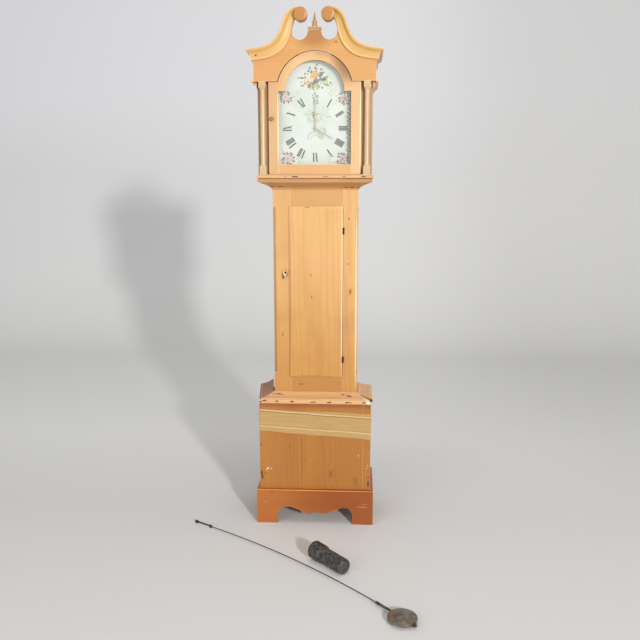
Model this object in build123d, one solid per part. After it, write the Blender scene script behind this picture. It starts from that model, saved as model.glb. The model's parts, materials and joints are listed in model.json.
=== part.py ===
"""A pine longcase clock with a thirty-hour movement, its pendulum and weight taken out and laid down.

Millimetres. X runs to the right as the dial is faced, Y to the back, Z up. The origin is the
centre of the plinth's footprint on the floor.
"""
from build123d import *
import math
import os

# ---- driving dimensions: the case ---------------------------------------------------------------
CLEAR = 0.3                 # gap between pieces that move past one another
PLINTH_DEPTH = 283.0
PLINTH_HEIGHT = 153.0
PLINTH_BOARD = 18.0
PLINTH_SIDE_BOARD = 13.0
FOOT_WIDTH = 89.0
SIDE_FOOT_WIDTH = 62.0
FOOT_ARCH_RISE = 42.0
APRON_TOP = 75.0
APRON_TOP_INSET = 38.0      # from the foot's inner edge to the top of the apron's arch
APRON_LOBE = 48.0
APRON_LOBE_HALF_SPACING = 37.0
APRON_CUSP = 63.0
APRON_BEND = 0.3            # where a side apron's arch bends most, as a share of its run
BASE_WIDTH = 475.0
BASE_TOP = 534.0
BASE_BOARD = 16.0
BASE_POST_WIDTH = 32.5
BASE_BOTTOM_HEIGHT = 150.0
BASE_BOTTOM_BOARD = 14.0
TRUNK_WIDTH = 354.0
TRUNK_DEPTH = 205.0
TRUNK_SIDE_BOARD = 16.0
TRUNK_FRAME_BOARD = 18.0
TRUNK_FOOT_DROP = 34.0      # how far the trunk reaches down inside the base
BACKBOARD = 12.0
BACKBOARD_FOOT = 40.0
BACKBOARD_DROP = 5.0        # its top below the top of the hood's sides
BASE_FOOT_RISE = 60.0       # the base's boards start this far above the backboard's foot
WALL_HOLE_RADIUS = 3.0
WALL_HOLE_RISE = 29.0       # above the trunk's top
BASE_MOULDING_HEIGHT = 37.0
MOULDING_LIP = 16.0
MOULDING_EDGE = 5.0         # flat on top of the cove
MOULDING_COVE = (20.0, 6.0)  # the cove's middle: out from the trunk, up from the lip
MOULDING_QUIRK = (7.0, 2.0)  # the step between cove and lip: in from the front, up
RETURN_SHIFT_BACK = 26.0    # the loose right return's place behind its mitre
RETURN_SHIFT_OUT = 8.0
RETURN_ROLL = 12.0          # degrees, its inner edge sunk between base and trunk
RETURN_SWING = 6.1          # degrees, the left return sprung away from the trunk at the back
TRUNK_TOP = 1471.0
THROAT_HEIGHT = 43.0
THROAT_FILLET = 14.0
THROAT_OUT = 56.0
THROAT_EDGE = 4.0           # flat under the cove
THROAT_COVE = (17.0, 7.0)   # the cove's middle: out from the trunk, down from the fillet
THROAT_QUIRK = (7.0, 2.0)   # the step between cove and fillet: in from the front, down
CHAMFER = 13.0
CHAMFER_LOW_STOP = 20.0     # chamfer's lower end above the trunk door's lower edge
CHAMFER_HIGH_STOP = 5.0     # and its upper end below the door's upper edge
SEATBOARD_TOP = 1575.0
SEATBOARD = 20.0
SEATBOARD_BACK = 80.0
CHAIN_SLOT_HALF = 17.0
CHAIN_SLOT_FRONT = -29.0
CHAIN_SLOT_BACK = 3.0
NOTCH_HALF = 15.0
NOTCH_SETBACK = 6.0         # behind the back plate
TAPE_LEFT_LOW = 410.0
TAPE_RIGHT_LOW = 378.0
TAPE_WIDTH = 113.0
TAPE_THICKNESS = 0.6

# ---- the trunk door -----------------------------------------------------------------------------
DOOR_LEFT = -112.0
DOOR_RIGHT = 113.6
DOOR_LOW = 636.0
DOOR_HIGH = 1361.0
DOOR_LIP = 8.0              # the lip's overlap on the frame
DOOR_PROUD = 7.0            # how far the door's face stands in front of the frame
DOOR_CORE = 13.5
DOOR_PLAY = 1.2
DOOR_GROOVE = 3.0
DOOR_BORDER = 7.0           # width of the sunk edge round the lip
HINGE_RADIUS = 3.0
HINGE_PIN = 1.2
HINGE_LEAF = 1.5
HINGE_LENGTH = 26.0
HINGE_LEAF_DEPTH = 16.0
HINGE_HEIGHTS = (714.0, 1259.0)
HINGE_INSET = 3.4           # door edge to hinge axis
BUTTON_X = -125.0
BUTTON_HEIGHT = 1086.0
BUTTON_RADIUS = 11.0
BUTTON_REACH = 20.0
BUTTON_TIP_RADIUS = 4.0
BUTTON_LEAF = 7.8
BUTTON_BOSS = 8.0
BUTTON_PLAY = 0.7
BUTTON_SCREW = 2.5
SCREW_HEAD = 2.0            # the head's edge beyond the shank
SCREW_SINK = 3.0            # depth of the head's recess in the button
SCREW_HEAD_SINK = 1.0
SCREW_HEAD_PLAY = 0.5
SCREW_DEPTH = 14.0          # in the stile

# ---- the hood -----------------------------------------------------------------------------------
HOOD_WIDTH = 460.0
HOOD_BOARD = 14.0
HOOD_BASE_WIDTH = 466.0
HOOD_BASE_HEIGHT = 16.2
HOOD_DEPTH_FRONT = -119.5
HOOD_SIDE_TOP = 1940.0
HOOD_TOP_BOARD = 12.0
HOOD_SIDE_PLAY = 0.6        # between the hood's sides and the backboard's wings
HOOD_FOOT_PLAY = 0.8        # and under the wings
HOOD_CHEEK_PLAY = 1.5       # between its base frame and the trunk
MASK_DROP = 4.0             # the mask's opening below the door's
TOP_NOTCH = 95.0            # half width of the top board's notch for the door's arched head
FRIEZE_WIDTH = 485.0
FRIEZE_LOW = 1847.5
FRIEZE_FRONT = -115.0
FRIEZE_BOARD = 18.0
FRIEZE_ARCH = 153.0
FRIEZE_ARCH_DROP = 0.5      # the arch's centre below the shoulders of the sight
CORNICE_LOW = 1926.0
CORNICE_TOP = 1966.0
CORNICE_OUT = 27.5
CORNICE_LIP = 9.0
CORNICE_QUIRK = 4.0
CORNICE_COVE = 11.0         # how deep the side cornice's cove is cut, both ways
ARCHITRAVE_OUT = 9.5
ARCHITRAVE_DROP = 23.5
ARCHITRAVE_LIP = (-2.0, 4.0)  # its square edge, from the frieze's lower edge
COLUMN_X = 208.0
COLUMN_Y = -105.0
COLUMN_RADIUS = 10.5
COLUMN_BLOCK = 27.0
COLUMN_FOOT = 32.0
COLUMN_CAP = 21.0
COLUMN_BEVEL = 5.0
JAMB_FRONT = -88.5
JAMB_BOARD = 12.5
JAMB_INNER = 172.0
MASK_BOARD = 4.0
MASK_HALF_OPENING = 148.0
MASK_ARCH = 121.0
ROUNDEL_X = 53.0
ROUNDEL_HEIGHT = 127.0      # centre above the cornice
ROUNDEL_RADIUS = 26.0
ROUNDEL_PROUD = 3.0         # how far a roundel stands in front of the cornice
NECK_CROWN = 2.0            # the neck's top above the roundel's rim
NECK_HEEL = 9.0             # the neck's lower edge ends this far outside the roundel's centre
UPPER_BENDS = ((0.249, 0.039), (0.488, 0.187), (0.641, 0.510), (0.7235, 0.806), (0.848, 0.961))
LOWER_BENDS = ((0.291, 0.048), (0.557, 0.162), (0.767, 0.419), (0.856, 0.731), (0.906, 0.910))
NECK_STEPS = ((0.0, 0.16, 0.33), (0.12, 0.5, 0.47), (0.5, 0.8, 0.73), (0.78, 1.0, 1.0))
SCALLOP_X = 57.5
SCALLOP_HEIGHT = 68.0       # centre above the cornice
SCALLOP_RADIUS = 31.0
ROUNDEL_RIM = 2.0           # how far the roundel stands over the edge of the board behind it
GAP_BELOW_ROUNDEL = 15.0
GAP_ABOVE_SCALLOP = 14.0
PEDESTAL_ROOT = 20.0        # how far the pedestal runs down into the board
PEDESTAL_HALF = 22.0
PEDESTAL_CAP_WIDTH = 54.0
PEDESTAL_CAP_HEIGHT = 11.5
PEDESTAL_TOP = 84.0         # above the cornice
FINIAL_HEIGHT = 60.0
FINIAL_RADIUS = 11.5
FINIAL_NECK = 0.38          # its shoulder's height as a share
FINIAL_WAIST = 9.0
FINIAL_FILLETS = (4.0, 5.0, 3.0)  # heights of the foot, of the shoulder and of its slope
SPIRE_ROOT = 6.0
SPIRE_TIP = 1.0
PEDESTAL_CAP_HALF_DEPTH = 13.0

# ---- the hood door ------------------------------------------------------------------------------
HOOD_DOOR_HALF = 183.5
HOOD_DOOR_LOW = 1489.0
HOOD_DOOR_SHOULDER = 1846.0
HOOD_DOOR_FRONT = -108.0
HOOD_DOOR_BOARD = 18.0
HOOD_DOOR_ARCH = 149.5
SIGHT_HALF = 144.5
SIGHT_LOW = 1527.0
SIGHT_SHOULDER = 1811.5
SIGHT_ARCH = 117.5
GLASS = 2.0
GLASS_LAP = 5.0
GLASS_SETBACK = 10.0
HOOD_PIN_X = 179.0
HOOD_PIN_Y = -102.0
HOOD_PIN_RADIUS = 2.0
HOOD_PIN_LENGTH = 26.0
HOOD_PIN_REACH = 12.0       # into the base frame and the frieze
HOOD_PIN_END_PLAY = 1.0
KNOB_X = -171.0
KNOB_HEIGHT = 1705.0
KNOB_RADIUS = 8.0
KNOB_STEM = 6.0
KNOB_HEAD = 8.0
KNOB_BEVEL = 2.0

# ---- the dial and movement, measured from the centre of the hands ------------------------------
DIAL_CENTRE = 1670.0
DIAL_HALF = 152.5
DIAL_ARCH_CENTRE = 1812.0
DIAL_ARCH = 122.0
DIAL_PLATE = 2.0
DIAL_FRONT = -71.0
DIAL_FOOT_RADIUS = 4.0
DIAL_FOOT_INSET = (9.0, 32.0)  # from the plate's side and end
DIAL_HOLE = 6.0
DATE_DROP = 43.6
DATE_OUTER = 30.0
DATE_INNER = 20.0
DATE_HALF_ANGLE = 80.0
DATE_DISC = 33.0
DATE_DISC_BACK = 1.5        # behind the dial
DATE_STUD = 2.0
DATE_STUD_REACH = 2.6
DATE_STUD_HEAD = 3.6
DATE_STUD_HEAD_PLACE = (2.1, 3.2)
PLATE_WIDTH = 160.0
PLATE_HEIGHT = 190.0
PLATE = 3.0
FRONT_PLATE_FRONT = -45.0
PLATE_SPACE = 62.0
PILLAR_RADIUS = 6.0
PILLAR_INSET = 12.0
PIVOT = 1.5
PIVOT_PLAY = 0.06
WHEEL = 2.2
ARBOR = 2.4
TOOTH = 0.42                # a wheel tooth's share of the pitch
LEAF = 0.34                 # and a pinion leaf's
WIDE_LEAF = 0.36
LEAF_OVER = 1.0             # a pinion's overhang beyond the wheel that drives it
MOTION_STUD = 16.0
ANCHOR_HOLE = 9.0
COCK_REACH = 22.0
COCK_HALF = 28.0
COCK = 3.0
COCK_HALF_HEIGHT = 9.0
COCK_LEG_X = 22.0
COCK_LEG_HALF = 6.0
COCK_NOSE = 14.0
COCK_NOSE_HALF = 7.0
COCK_NOSE_DROP = 3.0
COCK_SLIT = 0.6
GREAT_OPENINGS = (29.0, 15.0)  # radii of a wheel's openings at the rim and at the hub
CENTRE_OPENINGS = (22.0, 7.0)
THIRD_OPENINGS = (21.0, 6.0)
ESCAPE_OPENINGS = (16.0, 6.0)
PIN_WHEEL_OPENINGS = (17.0, 6.0)
SPOKE = 3.0
ESCAPE_WHEEL = 1.5
STRIKE_PIN_REACH_OUT = 19.5  # lifting pins' distance from their arbor
STRIKE_PIN_RADIUS = 1.2
STRIKE_PIN_LENGTH = 4.0

GREAT_TEETH = 72
CENTRE_LEAVES = 12
GREAT_MODULE = 1.0
CENTRE_TEETH = 60
THIRD_LEAVES = 8
CENTRE_MODULE = 0.9
THIRD_TEETH = 64
ESCAPE_LEAVES = 8
THIRD_MODULE = 0.8
ESCAPE_TEETH = 30
ESCAPE_RADIUS = 24.0
ESCAPE_TOOTH = 5.0
CANNON_TEETH = 30
MOTION_MODULE = 1.0
MOTION_LEAVES = 6
HOUR_TEETH = 72
STRIKE_LEAVES = 8
PIN_WHEEL_TEETH = 60
PIN_WHEEL_MODULE = 0.8
PIN_COUNT = 8
SPROCKET_RADIUS = 12.0
GREAT_ANGLE = -44.4         # direction from the centre arbor to the great wheel's
THIRD_ANGLE = 54.0
STRIKE_GREAT_X = -38.0
STRIKE_GREAT_Z = -29.4
STRIKE_PIN_ANGLE = 85.0
MOTION_ANGLE = 150.0
ANCHOR_ARM = 2.2
PALLET_CLEAR = 1.8          # pallets' clearance from the escape wheel's teeth
CRUTCH_LENGTH = 92.0
HAMMER_X = -47.0
HAMMER_Z = 38.0
HAMMER_ARM = 76.0           # arbor to the head's height
HAMMER_BEND = 62.0          # arbor to the shank's outward bend, above the plates
HAMMER_SHANK = 3.0
HAMMER_HEAD = 10.0
HAMMER_HEAD_RADIUS = 4.0
HAMMER_TAIL = 7.5
HAMMER_GAP = 2.0            # hammer head to bell at rest
BELL_X = -13.0
BELL_Y = -11.0
BELL_RADIUS = 42.0
BELL_RIM = 108.0
BELL_WALL = 2.5
BELL_STUD = 2.0
BELL_STAND_X = -44.0
BELL_STRAP = 3.0
CANNON_PIPE = 3.0
HOUR_PIPE = 4.4
HOUR_HAND = 88.0
MINUTE_HAND = 122.0
HAND = 1.2
HOUR_HAND_OUT = 6.0         # in front of the dial
MINUTE_HAND_OUT = 9.5
HOUR_BOSS = 8.0
MINUTE_BOSS = 6.5
COLLET_RADIUS = 5.0
COLLET = 1.6
HOUR_ANGLE = 120.0

# ---- the pendulum and weight on the floor -------------------------------------------------------
ROD_RADIUS = 1.9
ROD_START = (-439.0, -205.0)
ROD_MIDDLE = (-78.0, -462.0)
ROD_END = (253.0, -767.0)
ROD_FLAT_WIDTH = 9.0
ROD_FLAT = 4.0
ROD_SCREW_RADIUS = 2.5
ROD_SCREW_LENGTH = 14.0     # beyond the bob
SPRING_LENGTH = 80.0
SPRING_WIDTH = 8.0
SPRING = 0.8
SPRING_BLOCK = 12.0         # height of its end blocks
SPRING_LIFT = 1.0           # its middle above the blocks'
LOWER_BLOCK = 10.0
LOWER_BLOCK_HALF = 3.5
UPPER_BLOCK = 12.0
UPPER_BLOCK_HALF = 4.0
SPRING_PIN_RADIUS = 1.6
SPRING_PIN = 18.0
FERRULE = (-3.0, 11.0)      # along the flat rod from its upper end
FERRULE_WALL = 1.0
FERRULE_BORE = 0.4          # beyond the wire
BOB_RADIUS = 51.0
BOB_THICKNESS = 28.0
BOB_EDGE = 9.0
BOB_ALONG = 122.0           # bob's centre from the flat rod's upper end
NUT_RADIUS = 8.0
NUT = 6.0
WEIGHT_START = (15.0, -438.0)
WEIGHT_ANGLE = -45.0
WEIGHT_HEAD_RADIUS = 35.0
WEIGHT_HEAD = 55.0
WEIGHT_BODY_RADIUS = 30.0
WEIGHT_BODY = 120.0
WEIGHT_HOLE_RADIUS = 4.0
WEIGHT_HOLE = 20.0

# ---- places that follow from them ---------------------------------------------------------------
CASE_BACK = PLINTH_DEPTH / 2
BOARD_FRONT = CASE_BACK - BACKBOARD
PLINTH_FRONT = -PLINTH_DEPTH / 2
BASE_HALF = BASE_WIDTH / 2
PLINTH_HALF = BASE_HALF + PLINTH_SIDE_BOARD
BASE_FRONT = PLINTH_FRONT + PLINTH_BOARD
TRUNK_HALF = TRUNK_WIDTH / 2
TRUNK_FRONT = CASE_BACK - TRUNK_DEPTH
TRUNK_FRAME_BACK = TRUNK_FRONT + TRUNK_FRAME_BOARD
TRUNK_FOOT = BASE_TOP - TRUNK_FOOT_DROP
BASE_MOULDING_OUT = TRUNK_FRONT - BASE_FRONT
OPENING_LEFT = DOOR_LEFT + DOOR_LIP
OPENING_RIGHT = DOOR_RIGHT + DOOR_PLAY
OPENING_LOW = DOOR_LOW + DOOR_LIP
OPENING_HIGH = DOOR_HIGH - DOOR_LIP
DOOR_FRONT = TRUNK_FRONT - DOOR_PROUD
HINGE_X = DOOR_RIGHT + HINGE_INSET
HINGE_Y = DOOR_FRONT + HINGE_RADIUS
HOOD_FLOOR = TRUNK_TOP + CLEAR
HOOD_BASE_TOP = HOOD_FLOOR + HOOD_BASE_HEIGHT
HOOD_HALF = HOOD_WIDTH / 2
HOOD_INNER = HOOD_HALF - HOOD_BOARD
JAMB_BACK = JAMB_FRONT + JAMB_BOARD
FRIEZE_BACK = FRIEZE_FRONT + FRIEZE_BOARD
FRIEZE_HALF = FRIEZE_WIDTH / 2
ROUNDEL_Z = CORNICE_TOP + ROUNDEL_HEIGHT
SCALLOP_Z = CORNICE_TOP + SCALLOP_HEIGHT
PEDESTAL_Z = CORNICE_TOP + PEDESTAL_TOP
HOOD_DOOR_BACK = HOOD_DOOR_FRONT + HOOD_DOOR_BOARD
DIAL_BACK = DIAL_FRONT + DIAL_PLATE
FRONT_PLATE_BACK = FRONT_PLATE_FRONT + PLATE
BACK_PLATE_FRONT = FRONT_PLATE_BACK + PLATE_SPACE
BACK_PLATE_BACK = BACK_PLATE_FRONT + PLATE
COCK_BACK = BACK_PLATE_BACK + COCK_REACH


def polar(distance, degrees):
    """Point at a distance and an angle, anticlockwise from +X."""
    return distance * math.cos(math.radians(degrees)), distance * math.sin(math.radians(degrees))


def added(point, other):
    """Sum of two plane points."""
    return point[0] + other[0], point[1] + other[1]


CENTRE_AT = (0.0, 0.0)
GREAT_AT = polar(GREAT_MODULE * (GREAT_TEETH + CENTRE_LEAVES) / 2, GREAT_ANGLE)
THIRD_AT = polar(CENTRE_MODULE * (CENTRE_TEETH + THIRD_LEAVES) / 2, THIRD_ANGLE)
ESCAPE_REACH = THIRD_MODULE * (THIRD_TEETH + ESCAPE_LEAVES) / 2
ESCAPE_AT = (0.0, THIRD_AT[1] + math.sqrt(ESCAPE_REACH ** 2 - THIRD_AT[0] ** 2))
ANCHOR_AT = (0.0, ESCAPE_AT[1] + ESCAPE_RADIUS * math.sqrt(2))
MOTION_REACH = MOTION_MODULE * CANNON_TEETH
MOTION_AT = polar(MOTION_REACH, MOTION_ANGLE)
HOUR_MODULE = 2 * MOTION_REACH / (HOUR_TEETH + MOTION_LEAVES)
STRIKE_GREAT_AT = (STRIKE_GREAT_X, STRIKE_GREAT_Z)
STRIKE_PIN_REACH = GREAT_MODULE * (GREAT_TEETH + STRIKE_LEAVES) / 2
STRIKE_PIN_AT = added(STRIKE_GREAT_AT, polar(STRIKE_PIN_REACH, STRIKE_PIN_ANGLE))
HAMMER_AT = (HAMMER_X, HAMMER_Z)
DATE_AT = (0.0, -DATE_DROP)

# ---- planes of the wheels, from the front plate's back to the back plate's front ---------------
GREAT_PLANE = -30.0
CENTRE_PLANE = -20.0
THIRD_PLANE = -7.0
ESCAPE_PLANE = 8.0
STRIKE_GREAT_PLANE = 2.0
STRIKE_PIN_PLANE = 12.0
CANNON_PLANE = -52.0
HOUR_PLANE = -58.0


# ---- helpers ------------------------------------------------------------------------------------
def slab(x0, x1, y0, y1, z0, z1):
    """Box between two corners."""
    return Pos((x0 + x1) / 2, (y0 + y1) / 2, (z0 + z1) / 2) * Box(x1 - x0, y1 - y0, z1 - z0)


def filled(*edges):
    """Face inside a closed run of edges, drawn in X and Z."""
    return make_face(Plane.XZ * (Curve() + list(edges)))


def corners(*points):
    """Face inside a closed polygon, drawn in X and Z."""
    return make_face(Plane.XZ * Polyline(*points, close=True))


def from_front(face, front, back):
    """Prism of an X and Z face between two Y planes."""
    return Pos(0, back, 0) * extrude(face, amount=back - front, dir=(0, -1, 0))


def in_plan(low, high, *points):
    """Prism of a plan polygon between two heights."""
    return Pos(0, 0, low) * extrude(make_face(Polyline(*points, close=True)), amount=high - low)


def rod_y(at, radius, front, back):
    """Round bar along Y through a point of the movement, seen from the front."""
    x, z = at
    bar = Cylinder(radius, back - front, rotation=(90, 0, 0))
    return Pos(x, (front + back) / 2, DIAL_CENTRE + z) * bar


def mirrored(piece):
    """The same piece on the other side of the clock."""
    return mirror(piece, about=Plane.YZ)


def write(name, *pieces):
    """Write one node with its solids apart."""
    solids = []
    for piece in pieces:
        solids.extend(piece.solids())
    whole = solids[0] if len(solids) == 1 else Compound(children=solids)
    export_step(whole, f"parts/{name}.step")


# ---- plinth and base ----------------------------------------------------------------------------
def front_apron():
    """Outline of the plinth's front board: two feet and an apron with two lobes and a cusp."""
    half = PLINTH_HALF
    inner = half - FOOT_WIDTH
    crown = inner - APRON_TOP_INSET
    lobe = APRON_LOBE_HALF_SPACING
    rise = FOOT_ARCH_RISE
    left = Spline((-inner, rise), (-crown, APRON_TOP), (-lobe, APRON_LOBE), (0, APRON_CUSP),
                  tangents=[(0.25, 1), (0.5, 1)])
    right = Spline((0, APRON_CUSP), (lobe, APRON_LOBE), (crown, APRON_TOP), (inner, rise),
                   tangents=[(0.5, -1), (0.25, -1)])
    board = Polyline((inner, rise), (inner, 0), (half, 0), (half, PLINTH_HEIGHT),
                     (-half, PLINTH_HEIGHT), (-half, 0), (-inner, 0), (-inner, rise))
    return filled(left, right, board)


def side_apron(half):
    """Outline of a plinth's side board: two feet with a curved bracket under a level apron."""
    inner = half - SIDE_FOOT_WIDTH
    crown = inner - APRON_TOP_INSET
    rise = FOOT_ARCH_RISE
    bend = APRON_TOP - (APRON_TOP - rise) * APRON_BEND
    deep = inner - APRON_TOP_INSET * APRON_BEND
    left = ThreePointArc((-inner, rise), (-deep, bend), (-crown, APRON_TOP))
    right = ThreePointArc((crown, APRON_TOP), (deep, bend), (inner, rise))
    board = Polyline((inner, rise), (inner, 0), (half, 0), (half, PLINTH_HEIGHT),
                     (-half, PLINTH_HEIGHT), (-half, 0), (-inner, 0), (-inner, rise))
    return filled(left, Line((-crown, APRON_TOP), (crown, APRON_TOP)), right, board)


def plinth():
    """Front board and two side boards with bracket feet."""
    front = from_front(front_apron(), PLINTH_FRONT, BASE_FRONT)
    outline = side_apron((CASE_BACK - BASE_FRONT) / 2)
    side = Rot(0, 0, 90) * from_front(outline, -PLINTH_SIDE_BOARD / 2, PLINTH_SIDE_BOARD / 2)
    side = Pos(PLINTH_HALF - PLINTH_SIDE_BOARD / 2, (CASE_BACK + BASE_FRONT) / 2, 0) * side
    write("plinth_front", front)
    write("plinth_side_right", side)
    write("plinth_side_left", mirrored(side))


def base():
    """Front panel between two posts, two sides and a bottom board."""
    back = BASE_FRONT + BASE_BOARD
    foot = BACKBOARD_FOOT + BASE_FOOT_RISE
    inner = BASE_HALF - BASE_POST_WIDTH
    panel = slab(-inner, inner, BASE_FRONT, back, foot, BASE_TOP)
    post = slab(inner, BASE_HALF, BASE_FRONT, back, foot, BASE_TOP)
    side = slab(BASE_HALF - BASE_BOARD, BASE_HALF, back, BOARD_FRONT, foot, BASE_TOP)
    bottom = slab(BASE_BOARD - BASE_HALF, BASE_HALF - BASE_BOARD, back, BOARD_FRONT,
                  BASE_BOTTOM_HEIGHT, BASE_BOTTOM_HEIGHT + BASE_BOTTOM_BOARD)
    write("base_front", panel, post, mirrored(post))
    write("base_side_right", side)
    write("base_side_left", mirrored(side))
    write("base_bottom", bottom)


def tape_ring(out):
    """Slanting band round the base's front and sides, at a distance outside it."""
    half = BASE_HALF + out
    outline = corners((-half, TAPE_LEFT_LOW), (half, TAPE_RIGHT_LOW),
                      (half, TAPE_RIGHT_LOW + TAPE_WIDTH), (-half, TAPE_LEFT_LOW + TAPE_WIDTH))
    return from_front(outline, BASE_FRONT - out, CASE_BACK)


def packing_tape():
    """Tape laid round the base on its front and both sides."""
    inner = slab(-BASE_HALF, BASE_HALF, BASE_FRONT, CASE_BACK, 0, BASE_TOP)
    write("packing_tape", tape_ring(TAPE_THICKNESS) - inner)


def backboard():
    """Full height board, with wings that widen it in the base and in the hood."""
    top = HOOD_SIDE_TOP - BACKBOARD_DROP
    board = slab(-TRUNK_HALF, TRUNK_HALF, BOARD_FRONT, CASE_BACK, BACKBOARD_FOOT, top)
    screw_hole = Cylinder(WALL_HOLE_RADIUS, BACKBOARD, rotation=(90, 0, 0))
    board -= Pos(0, CASE_BACK - BACKBOARD / 2, TRUNK_TOP + WALL_HOLE_RISE) * screw_hole
    hood_wing = slab(TRUNK_HALF, HOOD_INNER - HOOD_SIDE_PLAY, BOARD_FRONT, CASE_BACK,
                     HOOD_BASE_TOP + HOOD_FOOT_PLAY, top)
    base_wing = slab(TRUNK_HALF, BASE_HALF, BOARD_FRONT, CASE_BACK, BACKBOARD_FOOT, BASE_TOP)
    write("backboard", board, hood_wing, mirrored(hood_wing), base_wing, mirrored(base_wing))


# ---- mouldings ----------------------------------------------------------------------------------
def front_run(profile, out):
    """Moulding across the trunk's front from an outline of (out, height), mitred at both ends."""
    run = extrude(profile, amount=TRUNK_HALF + out, both=True, dir=(1, 0, 0))
    plan = in_plan(0, 2 * TRUNK_TOP, (-TRUNK_HALF, 0), (TRUNK_HALF, 0),
                   (TRUNK_HALF + out, -out), (-TRUNK_HALF - out, -out))
    return Pos(0, TRUNK_FRONT, 0) * (run & plan)


def side_run(profile, out):
    """Moulding along the trunk's right side, mitred at the front."""
    run = extrude(profile, amount=TRUNK_DEPTH + out, dir=(0, 1, 0))
    run = Pos(TRUNK_HALF, TRUNK_FRONT - out, 0) * run
    plan = in_plan(0, 2 * TRUNK_TOP, (TRUNK_HALF, TRUNK_FRONT), (TRUNK_HALF + out, TRUNK_FRONT - out),
                   (TRUNK_HALF + out, CASE_BACK), (TRUNK_HALF, CASE_BACK))
    return run & plan


def base_profile(across):
    """Cove from the trunk's face out to the base's face, above a square lip."""
    top = BASE_TOP + BASE_MOULDING_HEIGHT
    lip = BASE_TOP + MOULDING_LIP
    out = BASE_MOULDING_OUT
    quirk = out - MOULDING_QUIRK[0]
    start = (MOULDING_EDGE, top)
    end = (quirk, lip + MOULDING_QUIRK[1])
    cove = ThreePointArc(start, (MOULDING_COVE[0], lip + MOULDING_COVE[1]), end)
    sides = Polyline(end, (quirk, lip), (out, lip), (out, BASE_TOP), (0, BASE_TOP), (0, top), start)
    return make_face(across * (Curve() + [cove, sides]))


def throat_profile(across):
    """Cove that widens upwards from the trunk, under a square fillet."""
    low = TRUNK_TOP - THROAT_HEIGHT
    fillet_low = TRUNK_TOP - THROAT_FILLET
    out = THROAT_OUT
    quirk = out - THROAT_QUIRK[0]
    start = (THROAT_EDGE, low)
    end = (quirk, fillet_low - THROAT_QUIRK[1])
    cove = ThreePointArc(start, (THROAT_COVE[0], fillet_low - THROAT_COVE[1]), end)
    sides = Polyline(end, (quirk, fillet_low), (out, fillet_low), (out, TRUNK_TOP), (0, TRUNK_TOP),
                     (0, low), start)
    return make_face(across * (Curve() + [cove, sides]))


FORWARD = Plane(origin=(0, 0, 0), x_dir=(0, -1, 0), z_dir=(-1, 0, 0))


def base_moulding():
    """Three lengths on top of the base; both returns have worked loose from their mitres."""
    out = BASE_MOULDING_OUT
    side = side_run(base_profile(Plane.XZ), out)
    corner = Pos(-TRUNK_HALF - out, TRUNK_FRONT - out, 0)
    swung = corner * Rot(0, 0, RETURN_SWING) * corner.inverse() * mirrored(side)
    swung &= slab(-BASE_WIDTH, 0, -CASE_BACK, CASE_BACK, 0, TRUNK_TOP)
    ledge = Pos(BASE_HALF - BASE_BOARD, 0, BASE_TOP)
    rolled = Pos(RETURN_SHIFT_OUT, RETURN_SHIFT_BACK, 0) * side
    rolled = ledge * Rot(0, -RETURN_ROLL, 0) * ledge.inverse() * rolled
    rolled &= slab(0, BASE_WIDTH, -CASE_BACK, BOARD_FRONT - CLEAR, 0, TRUNK_TOP)
    write("base_moulding_front", front_run(base_profile(FORWARD), out))
    write("base_moulding_left", swung)
    write("base_moulding_right", rolled)


def throat_moulding():
    """Three lengths that carry the hood."""
    front = front_run(throat_profile(FORWARD), THROAT_OUT)
    side = side_run(throat_profile(Plane.XZ), THROAT_OUT)
    write("throat_moulding", front, side, mirrored(side))


# ---- trunk --------------------------------------------------------------------------------------
def trunk():
    """Two sides that run up as cheeks, two stiles and two rails round the door."""
    side = slab(TRUNK_HALF - TRUNK_SIDE_BOARD, TRUNK_HALF, TRUNK_FRAME_BACK, BOARD_FRONT,
                TRUNK_FOOT, SEATBOARD_TOP - SEATBOARD)
    write("trunk_side_right", side)
    write("trunk_side_left", mirrored(side))
    chamfer = in_plan(DOOR_LOW + CHAMFER_LOW_STOP, DOOR_HIGH - CHAMFER_HIGH_STOP,
                      (TRUNK_HALF, TRUNK_FRONT), (TRUNK_HALF - CHAMFER, TRUNK_FRONT),
                      (TRUNK_HALF, TRUNK_FRONT + CHAMFER))
    right = slab(OPENING_RIGHT, TRUNK_HALF, TRUNK_FRONT, TRUNK_FRAME_BACK, TRUNK_FOOT, TRUNK_TOP)
    left = slab(-TRUNK_HALF, OPENING_LEFT, TRUNK_FRONT, TRUNK_FRAME_BACK, TRUNK_FOOT, TRUNK_TOP)
    left -= mirrored(chamfer)
    left -= button_bar(BUTTON_SCREW, TRUNK_FRONT, TRUNK_FRONT + SCREW_DEPTH)
    right -= chamfer
    for height in HINGE_HEIGHTS:
        right -= hinge_leaf(OPENING_RIGHT, TRUNK_FRONT, height)
    write("trunk_stile_right", right)
    write("trunk_stile_left", left)
    high = slab(OPENING_LEFT, OPENING_RIGHT, TRUNK_FRONT, TRUNK_FRAME_BACK, OPENING_HIGH, TRUNK_TOP)
    low = slab(OPENING_LEFT, OPENING_RIGHT, TRUNK_FRONT, TRUNK_FRAME_BACK, TRUNK_FOOT, OPENING_LOW)
    write("trunk_rails", high, low)


def seatboard():
    """Board across the cheeks, with a slot for each chain and a notch for the pendulum."""
    low = SEATBOARD_TOP - SEATBOARD
    board = slab(-TRUNK_HALF, TRUNK_HALF, TRUNK_FRONT, SEATBOARD_BACK, low, SEATBOARD_TOP)
    for x in (GREAT_AT[0], STRIKE_GREAT_X):
        board -= slab(x - CHAIN_SLOT_HALF, x + CHAIN_SLOT_HALF, CHAIN_SLOT_FRONT, CHAIN_SLOT_BACK,
                      low, SEATBOARD_TOP)
    notch = BACK_PLATE_BACK + NOTCH_SETBACK
    board -= slab(-NOTCH_HALF, NOTCH_HALF, notch, SEATBOARD_BACK, low, SEATBOARD_TOP)
    write("seatboard", board)


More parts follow.
